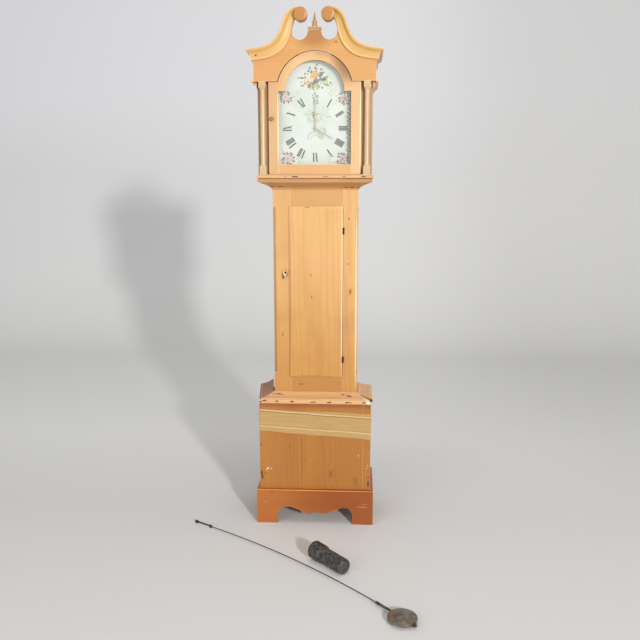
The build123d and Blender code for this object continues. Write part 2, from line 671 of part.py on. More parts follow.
# ---- trunk door ---------------------------------------------------------------------------------
def hinge_bar(radius, low, high):
    """Round bar on the trunk door's hinge axis."""
    return Pos(HINGE_X, HINGE_Y, (low + high) / 2) * Cylinder(radius, high - low)


def hinge_leaf(inner, front, height):
    """Flat leaf that lies against an upright edge, and the recess it is let into."""
    half = HINGE_LENGTH / 2
    return slab(inner, inner + HINGE_LEAF, front, front + HINGE_LEAF_DEPTH, height - half, height + half)


def door_leaf(height):
    """Leaf let into the door's edge, with the middle knuckle."""
    third = HINGE_LENGTH / 6
    leaf = hinge_leaf(DOOR_RIGHT - HINGE_LEAF, DOOR_FRONT, height)
    tongue = slab(DOOR_RIGHT - HINGE_LEAF, HINGE_X, DOOR_FRONT, DOOR_FRONT + HINGE_LEAF,
                  height - third, height + third)
    knuckle = hinge_bar(HINGE_RADIUS, height - third, height + third)
    return leaf + tongue + knuckle - hinge_bar(HINGE_PIN + PIVOT_PLAY, height - third, height + third)


def case_leaf(height):
    """Leaf let into the stile's edge, with the outer knuckles and the pin."""
    half = HINGE_LENGTH / 2
    third = HINGE_LENGTH / 6 + CLEAR
    leaf = hinge_leaf(OPENING_RIGHT, TRUNK_FRONT, height) + hinge_bar(HINGE_PIN, height - half, height + half)
    for low, high in ((height - half, height - third), (height + third, height + half)):
        leaf += hinge_bar(HINGE_RADIUS, low, high)
        leaf += slab(OPENING_RIGHT, OPENING_RIGHT + HINGE_LEAF, HINGE_Y, TRUNK_FRONT, low, high)
    return leaf


def button_bar(radius, front, back):
    """Round bar on the turn button's axis."""
    bar = Cylinder(radius, back - front, rotation=(90, 0, 0))
    return Pos(BUTTON_X, (front + back) / 2, BUTTON_HEIGHT) * bar


def trunk_door():
    """Lipped door, its hinges, and the turn button that holds it shut."""
    core = slab(OPENING_LEFT + DOOR_PLAY, DOOR_RIGHT, TRUNK_FRONT - CLEAR, TRUNK_FRONT + DOOR_CORE,
                OPENING_LOW + DOOR_PLAY, OPENING_HIGH - DOOR_PLAY)
    lip = slab(DOOR_LEFT, DOOR_RIGHT, DOOR_FRONT, TRUNK_FRONT - CLEAR, DOOR_LOW, DOOR_HIGH)
    groove = slab(DOOR_LEFT, DOOR_RIGHT, DOOR_FRONT, DOOR_FRONT + DOOR_GROOVE, DOOR_LOW, DOOR_HIGH)
    groove -= slab(DOOR_LEFT + DOOR_BORDER, DOOR_RIGHT - DOOR_BORDER, DOOR_FRONT, DOOR_FRONT + DOOR_GROOVE,
                   DOOR_LOW + DOOR_BORDER, DOOR_HIGH - DOOR_BORDER)
    door = core + lip - groove
    leaves = []
    for height in HINGE_HEIGHTS:
        leaves.append(door_leaf(height))
        door -= hinge_leaf(DOOR_RIGHT - HINGE_LEAF, DOOR_FRONT, height)
    write("trunk_door", door)
    write("trunk_door_leaves", *leaves)
    face = DOOR_FRONT - BUTTON_PLAY
    round_end = Pos(BUTTON_X, 0, BUTTON_HEIGHT) * Cylinder(BUTTON_RADIUS, BUTTON_LEAF, rotation=(90, 0, 0))
    tip = Pos(BUTTON_X, 0, BUTTON_HEIGHT - BUTTON_REACH)
    tip_end = tip * Cylinder(BUTTON_TIP_RADIUS, BUTTON_LEAF, rotation=(90, 0, 0))
    waist = corners((BUTTON_X - BUTTON_RADIUS, BUTTON_HEIGHT), (BUTTON_X + BUTTON_RADIUS, BUTTON_HEIGHT),
                    (BUTTON_X + BUTTON_TIP_RADIUS, BUTTON_HEIGHT - BUTTON_REACH),
                    (BUTTON_X - BUTTON_TIP_RADIUS, BUTTON_HEIGHT - BUTTON_REACH))
    leaf = round_end + tip_end + from_front(waist, -BUTTON_LEAF / 2, BUTTON_LEAF / 2)
    button = Pos(0, face - BUTTON_LEAF / 2, 0) * leaf + button_bar(BUTTON_BOSS, face, TRUNK_FRONT - CLEAR)
    front = face - BUTTON_LEAF
    button -= button_bar(BUTTON_SCREW + PIVOT_PLAY, front, TRUNK_FRONT)
    seat = front + SCREW_SINK
    head = front + SCREW_HEAD_SINK
    button -= button_bar(BUTTON_SCREW + SCREW_HEAD + SCREW_HEAD_PLAY, front, seat)
    screw = button_bar(BUTTON_SCREW, head, TRUNK_FRONT + SCREW_DEPTH)
    screw += button_bar(BUTTON_SCREW + SCREW_HEAD, head, seat - CLEAR)
    write("trunk_door_button", button)
    write("trunk_ironwork", screw, *[case_leaf(height) for height in HINGE_HEIGHTS])


# ---- hood ---------------------------------------------------------------------------------------
def hood_carcase():
    """Base frame, sides, jambs, top board and the mask round the dial."""
    half = HOOD_BASE_WIDTH / 2
    inner = TRUNK_HALF + HOOD_CHEEK_PLAY
    split = JAMB_BACK + MASK_BOARD
    front = slab(-half, half, HOOD_DEPTH_FRONT, split, HOOD_FLOOR, HOOD_BASE_TOP)
    front -= hood_pin_bar(HOOD_PIN_RADIUS + PIVOT_PLAY / 2, HOOD_DOOR_LOW - HOOD_PIN_REACH, HOOD_BASE_TOP)
    bar = slab(inner, half, split, CASE_BACK, HOOD_FLOOR, HOOD_BASE_TOP)
    write("hood_base_frame", front, bar, mirrored(bar))
    side = slab(HOOD_INNER, HOOD_HALF, JAMB_BACK, CASE_BACK, HOOD_BASE_TOP, HOOD_SIDE_TOP)
    write("hood_sides", side, mirrored(side))
    jamb = slab(JAMB_INNER, HOOD_HALF, JAMB_FRONT, JAMB_BACK, HOOD_BASE_TOP, HOOD_SIDE_TOP)
    write("hood_jambs", jamb, mirrored(jamb))
    lid = HOOD_SIDE_TOP + HOOD_TOP_BOARD
    top = slab(-HOOD_HALF, HOOD_HALF, FRIEZE_BACK, CASE_BACK, HOOD_SIDE_TOP, lid)
    top -= slab(-TOP_NOTCH, TOP_NOTCH, FRIEZE_BACK, JAMB_FRONT, HOOD_SIDE_TOP, lid)
    write("hood_top", top)
    mask = slab(-HOOD_INNER, HOOD_INNER, JAMB_BACK, split, HOOD_BASE_TOP, HOOD_SIDE_TOP)
    hole = sight(MASK_HALF_OPENING, SIGHT_LOW - MASK_DROP, MASK_ARCH)
    write("hood_mask", mask - from_front(hole, JAMB_BACK, split))


def sight(half, low, arch):
    """Break-arch outline: a square opening with a round head on shoulders."""
    sides = Polyline((-arch, SIGHT_SHOULDER), (-half, SIGHT_SHOULDER), (-half, low), (half, low),
                     (half, SIGHT_SHOULDER), (arch, SIGHT_SHOULDER))
    head = ThreePointArc((arch, SIGHT_SHOULDER), (0, SIGHT_SHOULDER + arch), (-arch, SIGHT_SHOULDER))
    return filled(sides, head)


def disc(x, z, radius):
    """Round face in X and Z."""
    return Pos(x, 0, z) * (Plane.XZ * Circle(radius))


def neck_edge(start, end, bends):
    """Scroll from a cornice's corner to a roundel; a bend is a share of the way across and of the way up."""
    points = [start]
    for across, up in bends:
        points.append((start[0] + across * (end[0] - start[0]), start[1] + up * (end[1] - start[1])))
    return points + [end]


UPPER_EDGE = neck_edge((-FRIEZE_HALF - CORNICE_OUT, CORNICE_TOP),
                       (-ROUNDEL_X, ROUNDEL_Z + ROUNDEL_RADIUS + NECK_CROWN), UPPER_BENDS)
LOWER_EDGE = neck_edge((-FRIEZE_HALF, CORNICE_LOW), (-ROUNDEL_X - NECK_HEEL, ROUNDEL_Z), LOWER_BENDS)


def between_edges(share):
    """Points that lie a share of the way from the swan neck's lower edge to its upper edge."""
    points = []
    for low, high in zip(LOWER_EDGE, UPPER_EDGE):
        points.append((low[0] + share * (high[0] - low[0]), low[1] + share * (high[1] - low[1])))
    return points


def neck_band(low_share, high_share, out):
    """One step of the swan neck's moulding, standing out in front of the frieze."""
    low = between_edges(low_share)
    high = between_edges(high_share)
    face = filled(Spline(*low), Line(low[-1], high[-1]), Spline(*high[::-1]), Line(high[0], low[0]))
    return from_front(face, FRIEZE_FRONT - out, FRIEZE_FRONT)


def swan_necks():
    """Scrolled cornices that end in plain round bosses."""
    neck = from_front(disc(-ROUNDEL_X, ROUNDEL_Z, ROUNDEL_RADIUS),
                      FRIEZE_FRONT - CORNICE_OUT - ROUNDEL_PROUD, FRIEZE_FRONT)
    for low_share, high_share, out_share in NECK_STEPS:
        neck += neck_band(low_share, high_share, out_share * CORNICE_OUT)
    write("swan_neck_left", neck)
    write("swan_neck_right", mirrored(neck))


def frieze():
    """Front board: frieze below, and above it the tympanum with its scallops and pedestal."""
    middle = between_edges(0.5)
    arch_x = math.sqrt(FRIEZE_ARCH ** 2 - (FRIEZE_LOW - SIGHT_SHOULDER) ** 2)
    inner_x = SCALLOP_X - SCALLOP_RADIUS
    edge = SCALLOP_X + SCALLOP_RADIUS
    shoulder = (CORNICE_LOW + middle[0][1]) / 2
    left = Spline((-FRIEZE_HALF, shoulder), *middle[1:])
    rest = Polyline(middle[-1], (-ROUNDEL_X, ROUNDEL_Z), (-inner_x, ROUNDEL_Z),
                    (-inner_x, SCALLOP_Z), (0, SCALLOP_Z), (0, FRIEZE_LOW),
                    (-FRIEZE_HALF, FRIEZE_LOW), (-FRIEZE_HALF, shoulder))
    board = from_front(filled(left, rest), FRIEZE_FRONT, FRIEZE_BACK)
    gap_top = ROUNDEL_Z + ROUNDEL_RADIUS + NECK_CROWN
    gap = corners((-edge, SCALLOP_Z), (-inner_x, SCALLOP_Z), (-inner_x, gap_top),
                  (-ROUNDEL_X, gap_top), (-ROUNDEL_X, ROUNDEL_Z),
                  (-ROUNDEL_X - ROUNDEL_RADIUS, ROUNDEL_Z - GAP_BELOW_ROUNDEL),
                  (-edge, SCALLOP_Z + GAP_ABOVE_SCALLOP))
    board -= from_front(gap, FRIEZE_FRONT, FRIEZE_BACK)
    board -= from_front(disc(-SCALLOP_X, SCALLOP_Z, SCALLOP_RADIUS), FRIEZE_FRONT, FRIEZE_BACK)
    boss = disc(-ROUNDEL_X, ROUNDEL_Z, ROUNDEL_RADIUS - ROUNDEL_RIM)
    board += from_front(boss, FRIEZE_FRONT, FRIEZE_BACK)
    board += mirrored(board)
    cap_low = PEDESTAL_Z - PEDESTAL_CAP_HEIGHT
    board += slab(-PEDESTAL_HALF, PEDESTAL_HALF, FRIEZE_FRONT, FRIEZE_BACK, SCALLOP_Z - PEDESTAL_ROOT,
                  cap_low)
    board -= from_front(disc(0, SIGHT_SHOULDER - FRIEZE_ARCH_DROP, FRIEZE_ARCH), FRIEZE_FRONT, FRIEZE_BACK)
    board -= slab(-arch_x, arch_x, FRIEZE_FRONT, FRIEZE_BACK, 0, FRIEZE_LOW)
    board -= hood_pin_bar(HOOD_PIN_RADIUS + PIVOT_PLAY / 2, FRIEZE_LOW, FRIEZE_LOW + HOOD_PIN_REACH)
    write("hood_frieze", board)


def cornice_returns():
    """Side frieze, its little architrave and the cornice above it, one length each side."""
    low = FRIEZE_LOW - ARCHITRAVE_DROP
    edge = FRIEZE_HALF + ARCHITRAVE_OUT
    out = FRIEZE_HALF + CORNICE_OUT
    lip = CORNICE_TOP - CORNICE_LIP
    inner = FRIEZE_HALF + CORNICE_QUIRK
    start = (inner, CORNICE_LOW + CORNICE_QUIRK)
    end = (out - CORNICE_QUIRK, lip)
    edge_low = FRIEZE_LOW + ARCHITRAVE_LIP[0]
    edge_high = FRIEZE_LOW + ARCHITRAVE_LIP[1]
    cove = ThreePointArc(start, (FRIEZE_HALF + CORNICE_COVE, lip - CORNICE_COVE), end)
    sides = Polyline(end, (out, lip), (out, CORNICE_TOP), (HOOD_HALF, CORNICE_TOP), (HOOD_HALF, low),
                     (edge, edge_low), (edge, edge_high), (FRIEZE_HALF, edge_high),
                     (FRIEZE_HALF, CORNICE_LOW), (inner, CORNICE_LOW), start)
    length = from_front(filled(cove, sides), FRIEZE_FRONT, CASE_BACK)
    length -= slab(0, FRIEZE_HALF, FRIEZE_FRONT, FRIEZE_BACK, low, CORNICE_TOP)
    write("hood_cornice_returns", length, mirrored(length))


def columns():
    """Round shafts between square blocks, one at each front corner."""
    height = FRIEZE_LOW - HOOD_BASE_TOP
    foot = Pos(0, 0, COLUMN_FOOT / 2) * Box(COLUMN_BLOCK, COLUMN_BLOCK, COLUMN_FOOT)
    cap = Pos(0, 0, height - COLUMN_CAP / 2) * Box(COLUMN_BLOCK, COLUMN_BLOCK, COLUMN_CAP)
    shaft_length = height - COLUMN_FOOT - COLUMN_CAP
    shaft = Pos(0, 0, COLUMN_FOOT + shaft_length / 2) * Cylinder(COLUMN_RADIUS, shaft_length)
    half = COLUMN_BLOCK / 2
    low_bevel = Pos(0, 0, COLUMN_FOOT + COLUMN_BEVEL / 2) * Cone(half, COLUMN_RADIUS, COLUMN_BEVEL)
    high_bevel = Pos(0, 0, height - COLUMN_CAP - COLUMN_BEVEL / 2) * Cone(COLUMN_RADIUS, half, COLUMN_BEVEL)
    column = Pos(COLUMN_X, COLUMN_Y, HOOD_BASE_TOP) * (foot + cap + shaft + low_bevel + high_bevel)
    write("hood_columns", column, mirrored(column))


def finial():
    """Square cap on the tympanum's pedestal, and a turned spire on it."""
    middle = (FRIEZE_FRONT + FRIEZE_BACK) / 2
    half = PEDESTAL_CAP_WIDTH / 2
    cap = slab(-half, half, middle - PEDESTAL_CAP_HALF_DEPTH, middle + PEDESTAL_CAP_HALF_DEPTH,
               PEDESTAL_Z - PEDESTAL_CAP_HEIGHT, PEDESTAL_Z)
    neck = FINIAL_HEIGHT * FINIAL_NECK
    foot, shoulder, slope = FINIAL_FILLETS
    turned = make_face(Plane.XZ * Polyline((0, 0), (FINIAL_RADIUS, 0), (FINIAL_RADIUS, foot),
                                           (FINIAL_WAIST, neck - shoulder), (FINIAL_WAIST, neck),
                                           (SPIRE_ROOT, neck + slope), (SPIRE_TIP, FINIAL_HEIGHT),
                                           (0, FINIAL_HEIGHT), close=True))
    spire = Pos(0, middle, PEDESTAL_Z) * revolve(turned, Axis.Z)
    write("hood_finial", cap, spire)


def hood_pin_bar(radius, low, high):
    """Round bar on the hood door's pivot axis."""
    return Pos(HOOD_PIN_X, HOOD_PIN_Y, (low + high) / 2) * Cylinder(radius, high - low)


def hood_door():
    """Two stiles, a bottom rail and an arched head round the glass, turning on two pins."""
    front = HOOD_DOOR_FRONT
    back = HOOD_DOOR_BACK
    rebate_front = front + GLASS_SETBACK
    pane = sight(SIGHT_HALF + GLASS_LAP, SIGHT_LOW - GLASS_LAP, SIGHT_ARCH + GLASS_LAP)
    head_rise = math.sqrt(HOOD_DOOR_ARCH ** 2 - SIGHT_HALF ** 2)
    rebate = from_front(pane, rebate_front, back)
    rebate += slab(-SIGHT_HALF - GLASS_LAP, SIGHT_HALF + GLASS_LAP, rebate_front, back,
                   SIGHT_LOW, SIGHT_SHOULDER + GLASS_LAP)
    stile = slab(SIGHT_HALF, HOOD_DOOR_HALF, front, back, HOOD_DOOR_LOW, HOOD_DOOR_SHOULDER) - rebate
    pinned = stile
    for low, high in ((HOOD_DOOR_LOW, HOOD_DOOR_LOW + HOOD_PIN_LENGTH / 2),
                      (HOOD_DOOR_SHOULDER - HOOD_PIN_LENGTH / 2, HOOD_DOOR_SHOULDER)):
        pinned -= hood_pin_bar(HOOD_PIN_RADIUS + PIVOT_PLAY, low, high)
    rail = slab(-SIGHT_HALF, SIGHT_HALF, front, back, HOOD_DOOR_LOW, SIGHT_LOW) - rebate
    spring = SIGHT_SHOULDER
    outer = ThreePointArc((SIGHT_HALF, spring + head_rise), (0, spring + HOOD_DOOR_ARCH),
                          (-SIGHT_HALF, spring + head_rise))
    inner = ThreePointArc((-SIGHT_ARCH, spring), (0, spring + SIGHT_ARCH), (SIGHT_ARCH, spring))
    crest = spring + head_rise
    head = filled(outer, Polyline((-SIGHT_HALF, crest), (-SIGHT_HALF, spring), (-SIGHT_ARCH, spring)),
                  inner, Polyline((SIGHT_ARCH, spring), (SIGHT_HALF, spring), (SIGHT_HALF, crest)))
    head = from_front(head, front, back) - rebate
    write("hood_door_frame", pinned, mirrored(stile), rail, head)
    glass = from_front(pane, rebate_front, rebate_front + GLASS)
    glass += slab(-SIGHT_HALF - GLASS_LAP, SIGHT_HALF + GLASS_LAP, rebate_front, rebate_front + GLASS,
                  SIGHT_LOW, SIGHT_SHOULDER + GLASS_LAP)
    write("hood_door_glass", glass)
    knob = Pos(KNOB_X, front, KNOB_HEIGHT)
    stem = Pos(0, -KNOB_STEM / 2, 0) * Cylinder(KNOB_RADIUS / 2, KNOB_STEM, rotation=(90, 0, 0))
    head_of_knob = Cylinder(KNOB_RADIUS, KNOB_HEAD, rotation=(90, 0, 0))
    head_of_knob = Pos(0, -KNOB_STEM - KNOB_HEAD / 2, 0) * head_of_knob
    head_of_knob = chamfer(head_of_knob.edges().group_by(Axis.Y)[0], KNOB_BEVEL)
    write("hood_door_knob", knob * (stem + head_of_knob))
    within = HOOD_PIN_LENGTH / 2 - HOOD_PIN_END_PLAY
    low_pin = hood_pin_bar(HOOD_PIN_RADIUS, HOOD_DOOR_LOW - HOOD_PIN_REACH, HOOD_DOOR_LOW + within)
    high_pin = hood_pin_bar(HOOD_PIN_RADIUS, HOOD_DOOR_SHOULDER - within, FRIEZE_LOW + HOOD_PIN_REACH)
    write("hood_door_pins", low_pin, high_pin)


# ---- dial and movement frame --------------------------------------------------------------------
def dial():
    """Break-arch iron plate with its four feet and the date disc's stud."""
    z = DIAL_CENTRE
    rise = math.sqrt(DIAL_ARCH ** 2 - (z + DIAL_HALF - DIAL_ARCH_CENTRE) ** 2)
    shoulder = z + DIAL_HALF
    sides = Polyline((-rise, shoulder), (-DIAL_HALF, shoulder), (-DIAL_HALF, z - DIAL_HALF),
                     (DIAL_HALF, z - DIAL_HALF), (DIAL_HALF, shoulder), (rise, shoulder))
    head = ThreePointArc((rise, shoulder), (0, DIAL_ARCH_CENTRE + DIAL_ARCH), (-rise, shoulder))
    plate = from_front(filled(sides, head), DIAL_FRONT, DIAL_BACK)
    plate -= rod_y(CENTRE_AT, DIAL_HOLE, DIAL_FRONT, DIAL_BACK)
    low = 90 - DATE_HALF_ANGLE
    high = 90 + DATE_HALF_ANGLE
    slot = filled(Polyline(polar(DATE_INNER, high), polar(DATE_OUTER, high)),
                  ThreePointArc(polar(DATE_OUTER, high), (0, DATE_OUTER), polar(DATE_OUTER, low)),
                  Polyline(polar(DATE_OUTER, low), polar(DATE_INNER, low)),
                  ThreePointArc(polar(DATE_INNER, low), (0, DATE_INNER), polar(DATE_INNER, high)))
    plate -= Pos(0, 0, z - DATE_DROP) * from_front(slot, DIAL_FRONT, DIAL_BACK)
    for x in (-1, 1):
        for side in (-1, 1):
            at = (x * (PLATE_WIDTH / 2 - DIAL_FOOT_INSET[0]), side * (PLATE_HEIGHT / 2 - DIAL_FOOT_INSET[1]))
            plate += rod_y(at, DIAL_FOOT_RADIUS, DIAL_BACK, FRONT_PLATE_FRONT)
    plate += rod_y(DATE_AT, DATE_STUD, DIAL_BACK, DIAL_BACK + DATE_STUD_REACH)
    head_front, head_back = DATE_STUD_HEAD_PLACE
    plate += rod_y(DATE_AT, DATE_STUD_HEAD, DIAL_BACK + head_front, DIAL_BACK + head_back)
    write("dial", plate)
    wheel = rod_y(DATE_AT, DATE_DISC, DIAL_BACK + CLEAR, DIAL_BACK + DATE_DISC_BACK)
    wheel -= rod_y(DATE_AT, DATE_STUD + PIVOT_PLAY, DIAL_BACK, DIAL_BACK + DATE_DISC_BACK)
    write("date_disc", wheel)


def movement_frame():
    """Two plates with pivot holes, and the four pillars between them."""
    half = PLATE_WIDTH / 2
    low = DIAL_CENTRE - PLATE_HEIGHT / 2
    high = DIAL_CENTRE + PLATE_HEIGHT / 2
    front = slab(-half, half, FRONT_PLATE_FRONT, FRONT_PLATE_BACK, low, high)
    back = slab(-half, half, BACK_PLATE_FRONT, BACK_PLATE_BACK, low, high)
    hole = PIVOT + PIVOT_PLAY
    for at in (GREAT_AT, THIRD_AT, ESCAPE_AT, ANCHOR_AT, STRIKE_GREAT_AT, STRIKE_PIN_AT, HAMMER_AT):
        front -= rod_y(at, hole, FRONT_PLATE_FRONT, FRONT_PLATE_BACK)
    for at in (CENTRE_AT, GREAT_AT, THIRD_AT, ESCAPE_AT, STRIKE_GREAT_AT, STRIKE_PIN_AT, HAMMER_AT):
        back -= rod_y(at, hole, BACK_PLATE_FRONT, BACK_PLATE_BACK)
    front -= rod_y(CENTRE_AT, ARBOR + PIVOT_PLAY, FRONT_PLATE_FRONT, FRONT_PLATE_BACK)
    front += rod_y(MOTION_AT, PIVOT, FRONT_PLATE_FRONT - MOTION_STUD, FRONT_PLATE_FRONT)
    back -= rod_y(ANCHOR_AT, ANCHOR_HOLE, BACK_PLATE_FRONT, BACK_PLATE_BACK)
    pillars = []
    for x in (-1, 1):
        for side in (-1, 1):
            at = (x * (half - PILLAR_INSET), side * (PLATE_HEIGHT / 2 - PILLAR_INSET))
            pillars.append(rod_y(at, PILLAR_RADIUS, FRONT_PLATE_BACK, BACK_PLATE_FRONT))
    write("movement_frame", front, back, *pillars)


def back_cock():
    """Bracket on the back plate that holds the anchor's rear pivot and the pendulum's spring."""
    z = DIAL_CENTRE + ANCHOR_AT[1]
    rear = COCK_BACK
    low = z - COCK_HALF_HEIGHT
    high = z + COCK_HALF_HEIGHT
    nose = z - COCK_NOSE_DROP
    bridge = slab(-COCK_HALF, COCK_HALF, rear - COCK, rear, low, high)
    for x in (-COCK_LEG_X, COCK_LEG_X):
        bridge += slab(x - COCK_LEG_HALF, x + COCK_LEG_HALF, BACK_PLATE_BACK, rear, low, high)
    bridge += slab(-COCK_NOSE_HALF, COCK_NOSE_HALF, rear, rear + COCK_NOSE, nose, high)
    bridge -= slab(-COCK_SLIT, COCK_SLIT, rear + COCK, rear + COCK_NOSE, nose, high)
    bridge -= rod_y(ANCHOR_AT, PIVOT + PIVOT_PLAY, rear - COCK, rear - CLEAR)
    write("back_cock", bridge)


# ---- wheels -------------------------------------------------------------------------------------
def toothed(teeth, module, at, plane, thickness, toward, on_tooth, thin):
    """Spur wheel with round-shouldered teeth.

    A tooth, or else a gap, is centred on the direction toward; thin is a tooth's share of the pitch.
    """
    pitch = module * teeth / 2
    root = pitch - 1.25 * module
    tip = pitch + 0.85 * module
    step = 360.0 / teeth
    start = toward if on_tooth else toward + step / 2
    points = []
    for tooth in range(teeth):
        middle = start + tooth * step
        for radius, share in ((root, -thin * 0.62), (pitch, -thin * 0.5), (tip, -thin * 0.22),
                              (tip, thin * 0.22), (pitch, thin * 0.5), (root, thin * 0.62)):
            points.append(polar(radius, middle + share * step))
    wheel = from_front(corners(*points), plane, plane + thickness)
    return Pos(at[0], 0, DIAL_CENTRE + at[1]) * wheel


def gear(teeth, module, at, plane, toward):
    """Wheel with a tooth on the direction toward."""
    return toothed(teeth, module, at, plane, WHEEL, toward, True, TOOTH)


def pinion_for(teeth, module, at, plane, toward, thin=LEAF):
    """Pinion with a gap on the direction toward, a little longer than the wheel in that plane."""
    return toothed(teeth, module, at, plane - LEAF_OVER, WHEEL + 2 * LEAF_OVER, toward, False, thin)


def crossings(at, openings, plane, thickness, spokes=4):
    """Openings between a wheel's spokes, from a radius at the rim to one at the hub."""
    rim, hub = openings
    half = math.degrees(SPOKE / hub) / 2
    cut = []
    for spoke in range(spokes):
        low = spoke * 360.0 / spokes + half
        high = (spoke + 1) * 360.0 / spokes - half
        middle = (low + high) / 2
        spread = half * hub / rim
        face = filled(Line(polar(hub, low), polar(rim, low - half + spread)),
                      ThreePointArc(polar(rim, low - half + spread), polar(rim, middle),
                                    polar(rim, high + half - spread)),
                      Line(polar(rim, high + half - spread), polar(hub, high)),
                      ThreePointArc(polar(hub, high), polar(hub, middle), polar(hub, low)))
        cut.append(Pos(at[0], 0, DIAL_CENTRE + at[1]) * from_front(face, plane, plane + thickness))
    return cut


def crossed(wheel, at, openings, plane, thickness):
    """Wheel with its crossings cut out."""
    for gap in crossings(at, openings, plane, thickness):
        wheel -= gap
    return wheel


def arbor(at, front=FRONT_PLATE_FRONT, back=BACK_PLATE_BACK):
    """Shaft between the plates, stepped down to its pivots."""
    shaft = rod_y(at, ARBOR, FRONT_PLATE_BACK + CLEAR, BACK_PLATE_FRONT - CLEAR)
    return shaft + rod_y(at, PIVOT, front, back)


def bearing(start, end):
    """Direction from one arbor to another, in degrees."""
    return math.degrees(math.atan2(end[1] - start[1], end[0] - start[0]))


def sprocket(at, front, back):
    """Chain pulley between two cheeks."""
    middle = (front + back) / 2
    spikes = rod_y(at, SPROCKET_RADIUS - 4.0, front, back)
    for cheek in (front, back - 2.0):
        spikes += rod_y(at, SPROCKET_RADIUS, cheek, cheek + 2.0)
    for spike in range(6):
        x, z = polar(SPROCKET_RADIUS - 3.0, spike * 60.0)
        pin = Rot(0, -spike * 60.0, 0) * Box(5.0, 2.0, 1.6)
        spikes += Pos(at[0] + x, middle, DIAL_CENTRE + at[1] + z) * pin
    return spikes


def going_train():
    """Great, centre, third and escape wheels with their pinions."""
    toward = bearing(GREAT_AT, CENTRE_AT)
    great = gear(GREAT_TEETH, GREAT_MODULE, GREAT_AT, GREAT_PLANE, toward)
    great = crossed(great, GREAT_AT, GREAT_OPENINGS, GREAT_PLANE, WHEEL)
    great += arbor(GREAT_AT) + sprocket(GREAT_AT, GREAT_PLANE + WHEEL, -12.0)
    write("great_wheel", great)

    toward = bearing(CENTRE_AT, GREAT_AT)
    pinion = pinion_for(CENTRE_LEAVES, GREAT_MODULE, CENTRE_AT, GREAT_PLANE, toward, WIDE_LEAF)
    toward = bearing(CENTRE_AT, THIRD_AT)
    centre = gear(CENTRE_TEETH, CENTRE_MODULE, CENTRE_AT, CENTRE_PLANE, toward)
    centre = crossed(centre, CENTRE_AT, CENTRE_OPENINGS, CENTRE_PLANE, WHEEL)
    shaft = rod_y(CENTRE_AT, ARBOR, FRONT_PLATE_FRONT - CLEAR, BACK_PLATE_FRONT - CLEAR)
    shaft += rod_y(CENTRE_AT, PIVOT, BACK_PLATE_FRONT - 1.0, BACK_PLATE_BACK)
    shaft += rod_y(CENTRE_AT, PIVOT, DIAL_FRONT - 13.0, FRONT_PLATE_FRONT)
    write("centre_wheel", centre + pinion + shaft)

    toward = bearing(THIRD_AT, CENTRE_AT)
    pinion = pinion_for(THIRD_LEAVES, CENTRE_MODULE, THIRD_AT, CENTRE_PLANE, toward)
    toward = bearing(THIRD_AT, ESCAPE_AT)
    third = gear(THIRD_TEETH, THIRD_MODULE, THIRD_AT, THIRD_PLANE, toward)
    third = crossed(third, THIRD_AT, THIRD_OPENINGS, THIRD_PLANE, WHEEL)
    write("third_wheel", third + pinion + arbor(THIRD_AT))

    toward = bearing(ESCAPE_AT, THIRD_AT)
    pinion = pinion_for(ESCAPE_LEAVES, THIRD_MODULE, ESCAPE_AT, THIRD_PLANE, toward)
    points = []
    for tooth in range(ESCAPE_TEETH):
        middle = tooth * 360.0 / ESCAPE_TEETH
        points.append(polar(ESCAPE_RADIUS - ESCAPE_TOOTH, middle - 0.9))
        points.append(polar(ESCAPE_RADIUS, middle - 0.5))
        points.append(polar(ESCAPE_RADIUS, middle + 0.5))
        points.append(polar(ESCAPE_RADIUS - ESCAPE_TOOTH, middle + 4.5))
    rim = from_front(corners(*points), ESCAPE_PLANE, ESCAPE_PLANE + ESCAPE_WHEEL)
    rim = Pos(0, 0, DIAL_CENTRE + ESCAPE_AT[1]) * rim
    rim = crossed(rim, ESCAPE_AT, ESCAPE_OPENINGS, ESCAPE_PLANE, ESCAPE_WHEEL)
    write("escape_wheel", rim + pinion + arbor(ESCAPE_AT))


def anchor():
    """Recoil anchor on its arbor, with the crutch that pushes the pendulum."""
    front = ESCAPE_PLANE - 1.0
    back = ESCAPE_PLANE + 2.5
    span = ESCAPE_RADIUS + PALLET_CLEAR
    near = polar(span, 45.0)
    outer = polar(span + 4.5, 40.0)
    drop = ANCHOR_AT[1] - ESCAPE_AT[1]
    arm = corners((0, drop - 4.0), (0, drop + 5.0), (outer[0] + 1.0, near[1] + 8.0), outer, near,
                  (near[0] - 3.0, near[1] + 5.5))
    body = Pos(0, 0, DIAL_CENTRE + ESCAPE_AT[1]) * from_front(arm, front, back)
    body += mirrored(body)
    shaft = rod_y(ANCHOR_AT, ARBOR, FRONT_PLATE_BACK + CLEAR, COCK_BACK - 3.0 - CLEAR)
    shaft += rod_y(ANCHOR_AT, PIVOT, FRONT_PLATE_FRONT, COCK_BACK - 1.0)
    z = DIAL_CENTRE + ANCHOR_AT[1]
    rear = BACK_PLATE_BACK + 8.0
    crutch = slab(-2.5, 2.5, rear, rear + 2.5, z - CRUTCH_LENGTH, z)
    for side in (-1, 1):
        crutch += slab(side * 4.5 - 1.5, side * 4.5 + 1.5, rear, rear + 24.0, z - CRUTCH_LENGTH - 6.0,
                       z - CRUTCH_LENGTH)
    crutch += slab(-6.0, 6.0, rear, rear + 2.5, z - CRUTCH_LENGTH - 6.0, z - CRUTCH_LENGTH)
    write("anchor", body + shaft + crutch)


